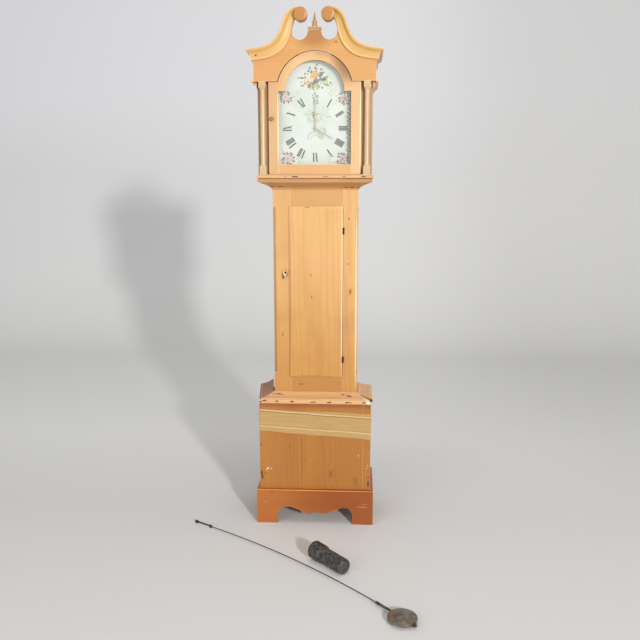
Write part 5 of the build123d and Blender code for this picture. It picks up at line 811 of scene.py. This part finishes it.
def swan_neck(side, sign):
    """Sweep between two curves: the profile's share goes from the lower to the upper one, its depth forwards.

    Near the outer end the points move sideways onto the cornice's mitre; a turned roundel ends the scroll.
    """
    under, top = neck_edge(*NECK_UNDER), neck_edge(*NECK_TOP)
    share, out = np.array(NECK_PROFILE).T
    place = under[:, None] + share[:, None] * (top - under)[:, None]
    near_end = np.clip(1 - np.linspace(0.0, 1.0, NECK_STATIONS) / MITRE_SHARE, 0.0, 1.0)
    mitre = near_end[:, None] * (CORNICE_OUT * share - out)
    y = np.broadcast_to(FRIEZE_FRONT - out, place.shape[:2])
    points = np.stack([-sign * (place[..., 0] + mitre), y, place[..., 1]], -1)
    name = "swan_neck_" + side
    neck = formed(name + "_scroll", points, "hood", WOODS["swan_neck"], 30.0)
    rim = [(24.6, -115.2), (25.6, -116.0), (26.0, -118.0), (26.0, -142.6), (25.5, -144.6), (23.8, -145.5),
           (12.0, -145.5), (2.0, -145.5)]
    roundel = turned(name + "_roundel", rim, (sign * ROUNDEL_X, 0.0, ROUNDEL_Z), "y", "hood",
                     WOODS["roundel"], 64)
    for piece in (neck, roundel):
        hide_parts(name)


def cornice_return(side, sign):
    """Side frieze with its small architrave and cornice, extruded to the back.

    In front of it are the architrave's square ear, and the cornice's length up to its mitre.
    """
    cornice = [(out, CORNICE_LOW + share * (CORNICE_TOP - CORNICE_LOW)) for share, out in NECK_PROFILE[1:-1]]
    ear = [(1.5, 1842.0), (6.0, 1843.6), (9.0, 1845.4), (9.5, 1847.0), (9.5, 1850.0), (8.6, 1851.4),
           (0.6, 1851.8)]
    wall = HOOD_HALF - FRIEZE_HALF
    whole = [(wall, 1824.0), (wall + 3.0, 1824.0), (wall + 4.5, 1827.0), (-4.0, 1835.0)] + ear
    whole += [(0.0, 1853.0), (0.0, CORNICE_LOW)] + cornice + [(wall, CORNICE_TOP)]
    ear = [(0.0, 1840.5), *ear, (0.0, 1851.8)]
    cornice = [(0.0, CORNICE_LOW), *cornice, (0.0, CORNICE_TOP)]
    for part, profile, front, back, mitre in (("frieze", whole, FRIEZE_BACK, CASE_BACK, 0.0),
                                              ("ear", ear, FRIEZE_FRONT, FRIEZE_BACK, 0.0),
                                              ("cornice", cornice, FRIEZE_FRONT, FRIEZE_BACK, 1.0)):
        out, z = np.array(profile).T
        x = np.broadcast_to(sign * (FRIEZE_HALF + out), (2, len(out)))
        y = np.stack([front - mitre * out, np.full(len(out), back)])
        points = np.stack([x, y, np.broadcast_to(z, x.shape)], -1)
        piece = formed("cornice_" + side + "_" + part, points, "hood",
                       WOODS["hood_cornice"], 30.0)
        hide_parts("hood_cornice_returns")


def finial():
    """Square cap of stacked rings, and a turned spire with a collar under its point."""
    middle = (FRIEZE_FRONT + FRIEZE_BACK) / 2
    rings = np.array([(21.5, 9.5, -11.5), (22.5, 10.0, -9.5), (26.2, 12.6, -7.4), (27.0, 13.0, -6.8),
                      (27.0, 13.0, -1.4), (26.2, 12.2, 0.0)])
    around = np.array([(-1, -1), (1, -1), (1, 1), (-1, 1)])
    x = rings[:, None, 0] * around[:, 0]
    y = middle + rings[:, None, 1] * around[:, 1]
    z = np.broadcast_to(PEDESTAL_Z + rings[:, None, 2], x.shape)
    cap = formed("pedestal_cap", np.stack([x, y, z], -1), "hood",
                 WOODS["hood_finial"])
    outline = [(11.0, 0.0), (11.3, 1.5), (10.9, 3.5), (9.8, 5.0), (9.3, 11.0), (8.9, 19.0), (9.3, 20.5),
               (9.3, 22.5), (8.4, 23.8), (6.6, 24.6), (5.7, 29.0), (4.4, 37.0), (3.0, 46.0), (1.8, 54.0),
               (0.8, 60.0)]
    spire = turned("spire", outline, (0.0, middle, PEDESTAL_Z), "z", "hood",
                   WOODS["hood_finial"], 40)
    for piece in (cap, spire):
        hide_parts("hood_finial")


def hood_knob():
    """Small turned pull with a hollow in its face."""
    outline = [(4.2, 0.0), (3.6, -2.5), (4.2, -4.5), (7.2, -6.2), (8.0, -8.2), (7.9, -10.6), (6.9, -12.6),
               (5.4, -13.6), (4.0, -13.7), (3.0, -13.0), (1.6, -12.6)]
    piece = turned("hood_pull", outline, (KNOB_X, HOOD_DOOR_FRONT, KNOB_Z), "y", "hood_door",
                   WOODS["hood_door_knob"], 32)
    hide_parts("hood_door_knob")


# ---- tape ----------------------------------------------------------------------------------------
TAPE_CLEAR = 0.25                                 # air under the tape, so that it doesn't cut into the base
TAPE_BEND = 2.0                                   # radius at the base's front corners
# each strip: low and high edge at the left, low and high edge at the right, and its lift over the others
TAPE_STRIPS = (("low", 412.0, 463.0, 380.0, 431.0, 0.15), ("high", 457.0, 507.0, 441.0, 492.0, 0.15),
               ("middle", 433.0, 481.0, 404.0, 459.0, 0.75))


def tape_strip(name, left_low, left_high, right_low, right_high, lift):
    """Film round three sides of the base, on a path in plan with rounded corners.

    Its edges slope across the front and waver a little. Its outer skin stands out by ripples, which are
    products of slow sines, and by one long and one short bell curve for a fold and a lifted edge.
    """
    bend = np.radians(np.linspace(0.0, 90.0, 5))
    half = BASE_HALF + TAPE_CLEAR + lift
    front = BASE_FRONT - TAPE_CLEAR - lift
    side = np.linspace(CASE_BACK, front + TAPE_BEND, 40)
    corner = np.array([TAPE_BEND - half, front + TAPE_BEND])
    corner = corner - TAPE_BEND * np.stack([np.cos(bend), np.sin(bend)], -1)
    across = np.linspace(TAPE_BEND - half, half - TAPE_BEND, 150)
    path = np.vstack([np.stack([np.full(40, -half), side], -1), corner[1:],
                      np.stack([across, np.full(150, front)], -1)[1:-1],
                      corner[::-1] * (-1, 1), np.stack([np.full(40, half), side[::-1]], -1)[1:]])
    heading = np.gradient(path, axis=0)
    heading /= np.linalg.norm(heading, axis=1)[:, None]
    outward_way = np.stack([heading[:, 1], -heading[:, 0]], -1)
    run = np.concatenate([[0.0], np.cumsum(np.linalg.norm(np.diff(path, axis=0), axis=1))])
    slope = np.clip((path[:, 0] + BASE_HALF) / (2 * BASE_HALF), 0.0, 1.0)
    waver = 1.1 * np.sin(run / 47.0 + lift * 9) + 0.7 * np.sin(run / 19.0 + left_low)
    low = left_low + slope * (right_low - left_low) + waver
    high = left_high + slope * (right_high - left_high) + 0.8 * np.sin(run / 61.0 + left_high) + 0.4 * waver
    share = np.linspace(0.0, 1.0, 14)
    z = low[:, None] + share * (high - low)[:, None]
    ripple = 0.22 * np.sin(z / 5.5 + run[:, None] / 60.0) * np.sin(run[:, None] / 83.0 + lift * 7)
    fold = np.exp(-((share - 0.86 + 0.1 * slope[:, None]) / 0.045) ** 2)
    ripple += 0.5 * fold * (0.4 + 0.6 * slope[:, None])
    ripple += 0.35 * np.exp(-(share / 0.06) ** 2) * (1 + np.sin(run[:, None] / 29.0))
    fade = np.clip(np.minimum(run, run[-1] - run) / 20.0, 0.0, 1.0)[:, None]
    offset = np.clip(ripple, 0.0, None) * fade + 0.3
    inner = np.stack([*np.broadcast_arrays(path[:, None, 0], path[:, None, 1], z)], -1)
    outer = inner.copy()
    outer[..., :2] += outward_way[:, None, :] * offset[..., None]
    points = np.concatenate([outer, inner[:, ::-1]], axis=1)
    piece = formed("tape_" + name, points, "case", TAPE, 50.0)
    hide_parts("packing_tape")


# ---- painting on the dial ------------------------------------------------------------------------
PAINT_LEAST, PAINT_STEP, PAINT_LAYERS = 0.06, 0.03, 12      # so that no shape lies in the plane of the next


def painted(name, shapes):
    """Thin closed prisms of paint: each outline (x, z) stands out by its layer, in its own colour."""
    points, faces, colours = [], [], []
    for layer, (outline, code) in enumerate(shapes):
        outline = np.array(outline, float)
        x, z = outline.T
        if np.sum(x * np.roll(z, -1) - np.roll(x, -1) * z) < 0:
            outline = outline[::-1]
        count, first = len(outline), sum(len(part) for part in points)
        lift = PAINT_LEAST + PAINT_STEP * (layer % PAINT_LAYERS)
        for y in (DIAL_FRONT - lift, DIAL_FRONT):
            points.append(np.stack([outline[:, 0], np.full(count, y), outline[:, 1]], -1))
        near, far = np.arange(first, first + count), np.arange(first + count, first + 2 * count)
        faces += [near.tolist(), far[::-1].tolist()]
        faces += np.stack([near, far, np.roll(far, -1), np.roll(near, -1)], -1).tolist()
        colours.append(np.broadcast_to(linear(code), (2 * count, 4)))
    mesh = bpy.data.meshes.new(name)
    mesh.from_pydata((np.vstack(points) * MM).tolist(), [], faces)
    paint = mesh.color_attributes.new("paint", "FLOAT_COLOR", "POINT")
    paint.data.foreach_set("color", np.vstack(colours).astype(np.float32).ravel())
    shown(name, mesh, "case", FLOWER_PAINT, smooth=0.0)


def ribbon(points, widths):
    """Brush stroke: a line with a width at each point, as a closed outline."""
    points = np.array(points, float)
    heading = np.gradient(points, axis=0)
    heading /= np.linalg.norm(heading, axis=1)[:, None]
    side = np.stack([-heading[:, 1], heading[:, 0]], -1) * np.array(widths, float)[:, None] / 2
    return np.vstack([points + side, (points - side)[::-1]])


def leaf(x, z, length, width, angle):
    """Leaf from its stalk: half its width times the sine of the way along, to the power 0.8."""
    share = np.linspace(0.0, 1.0, 8)
    heading = np.array([math.cos(math.radians(angle)), math.sin(math.radians(angle))])
    centre = np.array([x, z]) + share[:, None] * length * heading
    side = np.array([-heading[1], heading[0]]) * (width / 2 * np.sin(math.pi * share) ** 0.8)[:, None]
    return np.vstack([centre + side, (centre - side)[::-1][1:-1]])


def blot(x, z, radius, lobes=0, depth=0.0, turn=0.0, count=30):
    """Round dab whose radius swells and shrinks in lobes."""
    angle = np.linspace(0.0, 2 * math.pi, count, endpoint=False)
    reach = np.full(count, radius)
    if lobes:
        reach = radius * (1 - depth + depth * np.abs(np.cos((angle + turn) * lobes / 2)))
    return np.stack([x + reach * np.cos(angle), z + reach * np.sin(angle)], -1)


def blossom(x, z, radius, outer, inner, heart, turn):
    """Open flower of five petals: shaded petals, lighter ones on them, a line on each, and a heart."""
    shapes = [(blot(x, z, radius, 5, 0.34, turn, 50), outer)]
    shapes.append((blot(x - 0.06 * radius, z + 0.08 * radius, radius * 0.8, 5, 0.38, turn + 0.35, 50), inner))
    for petal in range(5):
        angle = turn + petal * 2 * math.pi / 5 + 0.3
        shapes.append((ribbon([(x + radius * share * math.cos(angle), z + radius * share * math.sin(angle))
                               for share in (0.25, 0.5, 0.82)], (0.5, 0.9, 0.3)), outer))
    shapes.append((blot(x, z, radius * 0.25), heart))
    return shapes


def sprays(x, z, spread, greens, seed, count, size, around=(0.0, 360.0)):
    """Leaves on thin stalks fanned round a place."""
    dice = np.random.default_rng(seed)
    shapes = []
    for step, angle in enumerate(np.linspace(*around, count, endpoint=around[1] - around[0] < 360.0)):
        angle += dice.uniform(-12.0, 12.0)
        far = spread * dice.uniform(0.75, 1.15)
        way = np.array([math.cos(math.radians(angle)), math.sin(math.radians(angle))])
        start, end = np.array([x, z]) + 0.3 * far * way, np.array([x, z]) + far * way
        shapes.append((ribbon([start, (start + end) / 2, end], (0.5, 0.5, 0.3)), greens[step % len(greens)]))
        for bend, back in ((35.0, 0.0), (-35.0, 0.25), (0.0, -0.05)):
            stalk = end - back * far * way
            shapes.append((leaf(*stalk, size * dice.uniform(0.7, 1.0), size * 0.36, angle + bend),
                           greens[(step + 1) % len(greens)]))
    return shapes


LEAF_GREENS = ("#5D6B3A", "#8C9A45", "#3E4A33", "#A9AE5A")
PALE_GREENS = ("#B9C08B", "#A3AD80", "#CBCD96")
GREY_GREENS = ("#A7B0A2", "#B8BDB5", "#9AA39B")
DARK_GREENS = ("#4A4C36", "#35382B", "#6B6A44")
LILAC_TOP = 1690.0                                # lilac flowers up to here on the right-hand trail


def bouquet():
    """Arch: an orange blossom over a cream-pink one, a yellow one, dark berries and fanned leaves."""
    shapes = sprays(-4.0, 1862.0, 42.0, DARK_GREENS, 3, 9, 11.5, (15.0, 165.0))
    shapes += sprays(-2.0, 1857.0, 58.0, LEAF_GREENS, 5, 5, 10.0, (165.0, 200.0))
    shapes += sprays(0.0, 1857.0, 56.0, LEAF_GREENS, 6, 5, 10.0, (-22.0, 14.0))
    shapes += sprays(-2.0, 1858.0, 40.0, LEAF_GREENS, 7, 7, 10.0, (200.0, 335.0))
    shapes += [(leaf(x, z, 26.0, 13.0, angle), code) for x, z, angle, code in
               ((-6.0, 1846.0, -100.0, "#8C9A45"), (6.0, 1848.0, -70.0, "#A9AE5A"),
                (-16.0, 1848.0, -125.0, "#A8762C"), (22.0, 1858.0, 8.0, "#46522F"),
                (14.0, 1868.0, 48.0, "#5D5A2C"), (34.0, 1850.0, -40.0, "#8C9A45"))]
    shapes += blossom(-28.0, 1851.0, 18.0, "#E9B287", "#F6D8B8", "#C97B45", 0.4)
    shapes += blossom(-2.0, 1878.0, 18.0, "#CC8320", "#E9AF3D", "#8A4E1C", 0.1)
    shapes += blossom(41.0, 1850.0, 11.0, "#B9B650", "#DAD67C", "#7C7A2E", 0.8)
    dice = np.random.default_rng(8)
    for _ in range(34):
        along, off = dice.uniform(-22.0, 24.0), dice.uniform(-9.0, 8.0)
        x, z = 4.0 + 0.86 * along - 0.5 * off, 1855.0 + 0.5 * along + 0.86 * off
        shapes.append((blot(x, z, 3.0), "#26262E"))
        shapes.append((blot(x - 0.6, z + 0.7, 0.9, count=12), "#B9BCC6"))
    return shapes


def corner_flowers():
    """Spandrels: a pink blossom in each corner with dark leaves, darker on the right."""
    shapes = []
    for x, z, petals, inner, heart, seed in ((-119.0, 1792.0, "#E3A9A4", "#F4D3CB", "#C77C7C", 11),
                                             (119.0, 1786.0, "#A9766A", "#D3A695", "#5B2B2B", 12),
                                             (-112.0, 1551.0, "#DCA3A0", "#F0CDC6", "#B56C70", 13),
                                             (111.0, 1551.0, "#B97F86", "#DDB0B0", "#6E3440", 14)):
        shapes += sprays(x, z, 19.0, DARK_GREENS, seed, 11, 11.5)
        shapes += sprays(x * 0.83, z, 17.0, PALE_GREENS, seed + 20, 5, 7.0)
        shapes += blossom(x, z, 15.0, petals, inner, heart, seed * 0.7)
    for x, z in ((-70.0, 1806.0), (64.0, 1807.0), (-62.0, 1537.0), (60.0, 1537.0)):
        shapes += sprays(x, z, 7.0, GREY_GREENS, int(abs(x)), 4, 6.0)
    return shapes


def side_vines():
    """Trails up both edges, their stems a slow sine: lilac and dark on the right, faint green on the left."""
    def stem(height):
        return 137.0 + 3.0 * np.sin(height / 11.0)

    shapes = []
    for sign, greens, low, high, size in ((1, DARK_GREENS, 1575.0, 1765.0, 12.0),
                                          (-1, GREY_GREENS, 1570.0, 1770.0, 7.0)):
        z = np.linspace(low, high, 40)
        shapes.append((ribbon(np.stack([sign * stem(z), z], -1), np.full(40, 0.7)), greens[0]))
        for step, height in enumerate(np.arange(low, high, 8.0)):
            x = sign * stem(height)
            angle = 90 + sign * (60 if step % 2 else -50)
            shapes.append((leaf(x, height, size, size * 0.42, angle), greens[step % 3]))
            if sign > 0 and step % 3 == 1 and height < LILAC_TOP:
                shapes.append((blot(x - 6.0, height + 3.0, 6.4, 5, 0.4, step, 25), "#A88AA8"))
    return shapes


def middle_sprig():
    """Small garland over the hands: yellow and pink buds between pale leaves."""
    shapes = sprays(-10.0, 1722.0, 26.0, PALE_GREENS, 31, 6, 9.0, (120.0, 230.0))
    shapes += sprays(18.0, 1722.0, 34.0, GREY_GREENS, 32, 6, 8.0, (-40.0, 50.0))
    shapes += [(leaf(-4.0, 1724.0, 17.0, 4.5, angle), code) for angle, code in
               ((125.0, "#55604A"), (70.0, "#6F7858"), (-110.0, "#8F9A78"))]
    shapes += blossom(3.0, 1725.0, 7.5, "#D9B23F", "#EBD27A", "#9C6B22", 0.2)
    shapes += blossom(-9.0, 1722.0, 4.5, "#B0787C", "#D6A7A6", "#7A4548", 0.9)
    shapes += blossom(31.0, 1724.0, 5.0, "#D9B4BA", "#EAD2D3", "#B98A92", 0.5)
    shapes += blossom(4.0, 1701.0, 6.0, "#DDB0AE", "#EED0CB", "#B98082", 0.7)
    return shapes


def date_border():
    """Gilt border of the date slot: two arcs joined round its ends, and a dark line over them."""
    gilt = "#B59A5E"
    shapes = []
    for radius, width, code in ((31.5, 1.5, gilt), (18.7, 1.3, gilt), (32.6, 0.5, "#7D6438")):
        angle = np.radians(np.linspace(8.0, 172.0, 41))
        line = np.stack([radius * np.cos(angle), DATE_Z + radius * np.sin(angle)], -1)
        shapes.append((ribbon(line, np.full(41, width)), code))
    for sign in (-1, 1):
        end = [(sign * 18.6, DATE_Z + 2.4), (sign * 25.0, DATE_Z - 0.4), (sign * 31.4, DATE_Z + 4.2)]
        shapes.append((ribbon(end, (1.3, 1.4, 1.3)), gilt))
    return shapes


NUMERALS = ("XII", "I", "II", "III", "IIII", "V", "VI", "VII", "VIII", "IX", "X", "XI")
NUMERAL_INNER, NUMERAL_OUTER = 95.0, 131.0
BAR, HAIR = 5.4, 1.2
# each letter: its width, and its strokes as (start across, share up, end across, share up, thickness)
LETTERS = {"I": (6.4, ((3.2, 0.0, 3.2, 1.0, BAR),)),
           "V": (14.0, ((2.4, 1.0, 7.0, 0.0, BAR), (12.4, 1.0, 7.0, 0.0, HAIR))),
           "X": (14.0, ((2.4, 1.0, 11.6, 0.0, BAR), (12.0, 1.0, 2.0, 0.0, HAIR)))}
WORN_BARS = ((0.0, 0.16), (0.24, 0.42), (0.5, 0.6), (0.7, 0.98))    # what is left of the bars of the twelve
INK, WORN_INK = "#22231E", "#8C8E88"


def numeral(hour, word):
    """Roman numeral with its foot to the centre: strokes placed from the left, then turned to the hour."""
    left = -sum(LETTERS[letter][0] for letter in word) / 2
    strokes = []
    for letter in word:
        wide, lines = LETTERS[letter]
        strokes += [((left + start, low), (left + end, high), thick)
                    for start, low, end, high, thick in lines]
        left += wide
    turn = math.radians(30.0 * hour)
    clockwise = np.array([math.cos(turn), -math.sin(turn)])
    upward = np.array([math.sin(turn), math.cos(turn)])
    tall = NUMERAL_OUTER - NUMERAL_INNER
    shapes = []
    for start, end, thick in strokes:
        line = [np.array([0.0, DIAL_Z]) + across * clockwise + (NUMERAL_INNER + share * tall) * upward
                for across, share in (start, end)]
        for low, high in (WORN_BARS if hour == 0 and thick == BAR else ((0.0, 1.0),)):
            piece = [line[0] + low * (line[1] - line[0]), line[0] + high * (line[1] - line[0])]
            shapes.append((ribbon(piece, (thick, thick)), WORN_INK if hour == 0 else INK))
    return shapes


def dial_painting():
    """All the painting, in three pieces."""
    figures = [shape for hour, word in enumerate(NUMERALS) for shape in numeral(hour, word)]
    painted("dial_numerals", figures)
    painted("dial_arch_flowers", bouquet())
    painted("dial_flowers", corner_flowers() + side_vines() + middle_sprig() + date_border())


# ---- pendulum bob and weight ---------------------------------------------------------------------
WEIGHT_X, WEIGHT_Y, WEIGHT_HEADING = 15.0, -438.0, -45.0
WEIGHT_STEP = 5.0                                 # the head's radius less the body's
WEIGHT_SPAN = 120.0                               # between the lines on which head and body touch the floor


def lying(outline):
    """Outline (radius, along) turned about an axis, which is dipped and then swung to the heading."""
    radius, along = np.array(outline, float).T
    angle = np.linspace(0.0, 2 * math.pi, 64, endpoint=False)
    x = np.broadcast_to(along[:, None], (len(along), len(angle)))
    y, z = radius[:, None] * np.cos(angle), radius[:, None] * np.sin(angle)
    dip, swing = math.asin(WEIGHT_STEP / WEIGHT_SPAN), math.radians(WEIGHT_HEADING)
    level, lift = x * math.cos(dip) + z * math.sin(dip), z * math.cos(dip) - x * math.sin(dip)
    return np.stack([WEIGHT_X + level * math.cos(swing) - y * math.sin(swing),
                     WEIGHT_Y + level * math.sin(swing) + y * math.cos(swing), lift - lift.min()], -1)


def iron_weight():
    """Cast weight in two diameters, lying on the floor: a thick head with a hook hole, and a longer body."""
    outline = [(4.0, 20.0), (4.0, 2.0), (5.5, 0.6), (7.5, 0.0), (20.0, 0.3), (30.5, 0.0), (33.4, 0.9),
               (34.7, 2.8), (35.0, 6.0), (34.6, 20.0), (35.0, 34.0), (34.8, 49.0), (34.9, 52.0), (33.6, 54.4),
               (31.8, 55.2), (30.6, 55.6), (29.8, 57.5), (29.7, 90.0), (30.0, 130.0), (29.9, 166.0),
               (29.0, 172.0), (26.5, 174.6), (21.0, 175.0), (8.0, 174.2)]
    piece = formed("cast_weight", lying(outline), "weight", CAST_IRON)
    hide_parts("clock_weight")


def pendulum_lens():
    """Lens of two shallow domes, by a power of the share of the radius, and a rolled rim."""
    low, high = (np.array(corner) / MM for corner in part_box("pendulum_bob"))
    centre, half = (low + high) / 2, (high - low)[2] / 2
    bend = np.linspace(0.06, 1.0, 16)
    dome = [(49.0 * share, half - (half - 5.2) * share ** 2.3) for share in bend]
    rim = [(49.6, 4.4), (50.6, 3.6), (51.0, 1.5)]
    outline = dome + rim + [(radius, -height) for radius, height in (dome + rim)[::-1]]
    piece = turned("bob_lens", outline, centre, "z", "pendulum", BOB_METAL, 96)
    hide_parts("pendulum_bob")


for board, width in EASED_BOARDS:
    dressed = eased(board, WOODS[board], width)
    if board == "hood_door_frame":
        grain_across(dressed)
cad_finishes()
base_mouldings()
throat()
hood_edge()
lipped_door()
for place, way in (("left", -1), ("right", 1)):
    column(place, way)
    swan_neck(place, way)
    cornice_return(place, way)
finial()
hood_knob()
for strip in TAPE_STRIPS:
    tape_strip(*strip)
dial_painting()
iron_weight()
pendulum_lens()


# ---- camera, light and floor ---------------------------------------------------------------------
CAMERA_PLACE = (0.180, -3.101, 1.426)
CAMERA_PITCH, CAMERA_TURN, LENS = 79.9, 3.04, 41.07
SKY, SKY_STRENGTH = "#E9EAEC", 0.38
# each lamp: its name, place, aim, size and power
LAMPS = (("key", (3.42, -7.56, 3.14), (0.0, 0.0, 1.25), 0.5, 486.0),
         ("fill", (-2.6, -3.6, 2.0), (0.0, 0.0, 1.0), 2.6, 36.0),
         ("top", (0.2, -0.8, 4.2), (0.0, 0.3, 0.5), 2.4, 28.0))


def studio():
    """Camera at standing height in front, a far key from the right, a soft fill and a soft top light."""
    camera = linked("camera", bpy.data.cameras.new("camera"))
    camera.location = CAMERA_PLACE
    camera.rotation_euler = (math.radians(CAMERA_PITCH), 0.0, math.radians(CAMERA_TURN))
    camera.data.lens = LENS
    camera.data.sensor_width = 36.0
    bpy.context.scene.camera = camera
    for name, place, aim, size, power in LAMPS:
        lamp = linked(name, bpy.data.lights.new(name, "AREA"))
        lamp.location = place
        lamp.rotation_euler = (Vector(aim) - Vector(place)).to_track_quat("-Z", "Y").to_euler()
        lamp.data.size = size
        lamp.data.energy = power
    world = bpy.data.worlds.new("studio")
    bpy.context.scene.world = world
    world.use_nodes = True
    world.node_tree.nodes["Background"].inputs[0].default_value = linear(SKY)
    world.node_tree.nodes["Background"].inputs[1].default_value = SKY_STRENGTH
    bpy.context.scene.view_settings.view_transform = "Standard"


SWEEP_HALF, SWEEP_FRONT, SWEEP_WALL, SWEEP_HIGH, SWEEP_BEND = 12000.0, -9000.0, 4400.0, 9000.0, 1300.0
GLOW_REACH = 7.5                                  # metres back and up, to which the stops of the glow go
WALL_GLOW = ((0.0, "#000000"), (0.133, "#5A5A59"), (0.267, "#585858"), (0.413, "#595959"), (0.529, "#616161"),
             (0.635, "#656566"), (0.7, "#616163"), (0.8, "#5E5E63"), (0.9, "#6C6C74"), (1.0, "#6C6C74"))
GLOW_FALL = (0.2, 1.9, 1.0, 0.3)  # to the right the glow falls: from x, to x, start, end


def sweep():
    """Floor that curves up into the backdrop: a flat run, a quarter bend and a wall.

    It glows for camera, mirror and glass rays only, by how far back and up it is, and so stays pale.
    """
    material, tree, place = new_material("painted_sweep", Roughness=0.85, Base_Color=linear("#E3E2E0"))
    along, back, up = add(tree, "SeparateXYZ", (place,)).node.outputs
    far = weighted(tree, up, (add(tree, "Math", (back, 0.0), operation="MAXIMUM"), 1.0))
    glow = with_stops(add(tree, "ValToRGB", (weighted(tree, 0.0, (far, 1.0 / GLOW_REACH)),)), WALL_GLOW)
    rays = add(tree, "LightPath").node.outputs
    seen = add(tree, "Math", (rays["Is Camera Ray"], rays["Is Glossy Ray"]), operation="MAXIMUM")
    seen = add(tree, "Math", (seen, rays["Is Transmission Ray"]), operation="MAXIMUM")
    fall = add(tree, "MapRange", (along, *GLOW_FALL), **SMOOTH)
    shader = tree.nodes["Principled BSDF"]
    tree.links.new(glow, shader.inputs["Emission Color"])
    tree.links.new(add(tree, "Math", (seen, fall), operation="MULTIPLY"), shader.inputs["Emission Strength"])
    angle = np.radians(np.linspace(0, 90, 25))
    y = np.concatenate([[SWEEP_FRONT], SWEEP_WALL - SWEEP_BEND + SWEEP_BEND * np.sin(angle), [SWEEP_WALL]])
    z = np.concatenate([[0.0], SWEEP_BEND - SWEEP_BEND * np.cos(angle), [SWEEP_HIGH]])
    x = np.broadcast_to([-SWEEP_HALF, SWEEP_HALF], (len(y), 2))
    points = np.stack([x, np.broadcast_to(y[:, None], x.shape), np.broadcast_to(z[:, None], x.shape)], -1)
    floor = linked("sweep", grid_mesh("sweep", points, closed=False))
    floor.data.materials.append(material)
    floor.data.shade_smooth()


studio()
sweep()
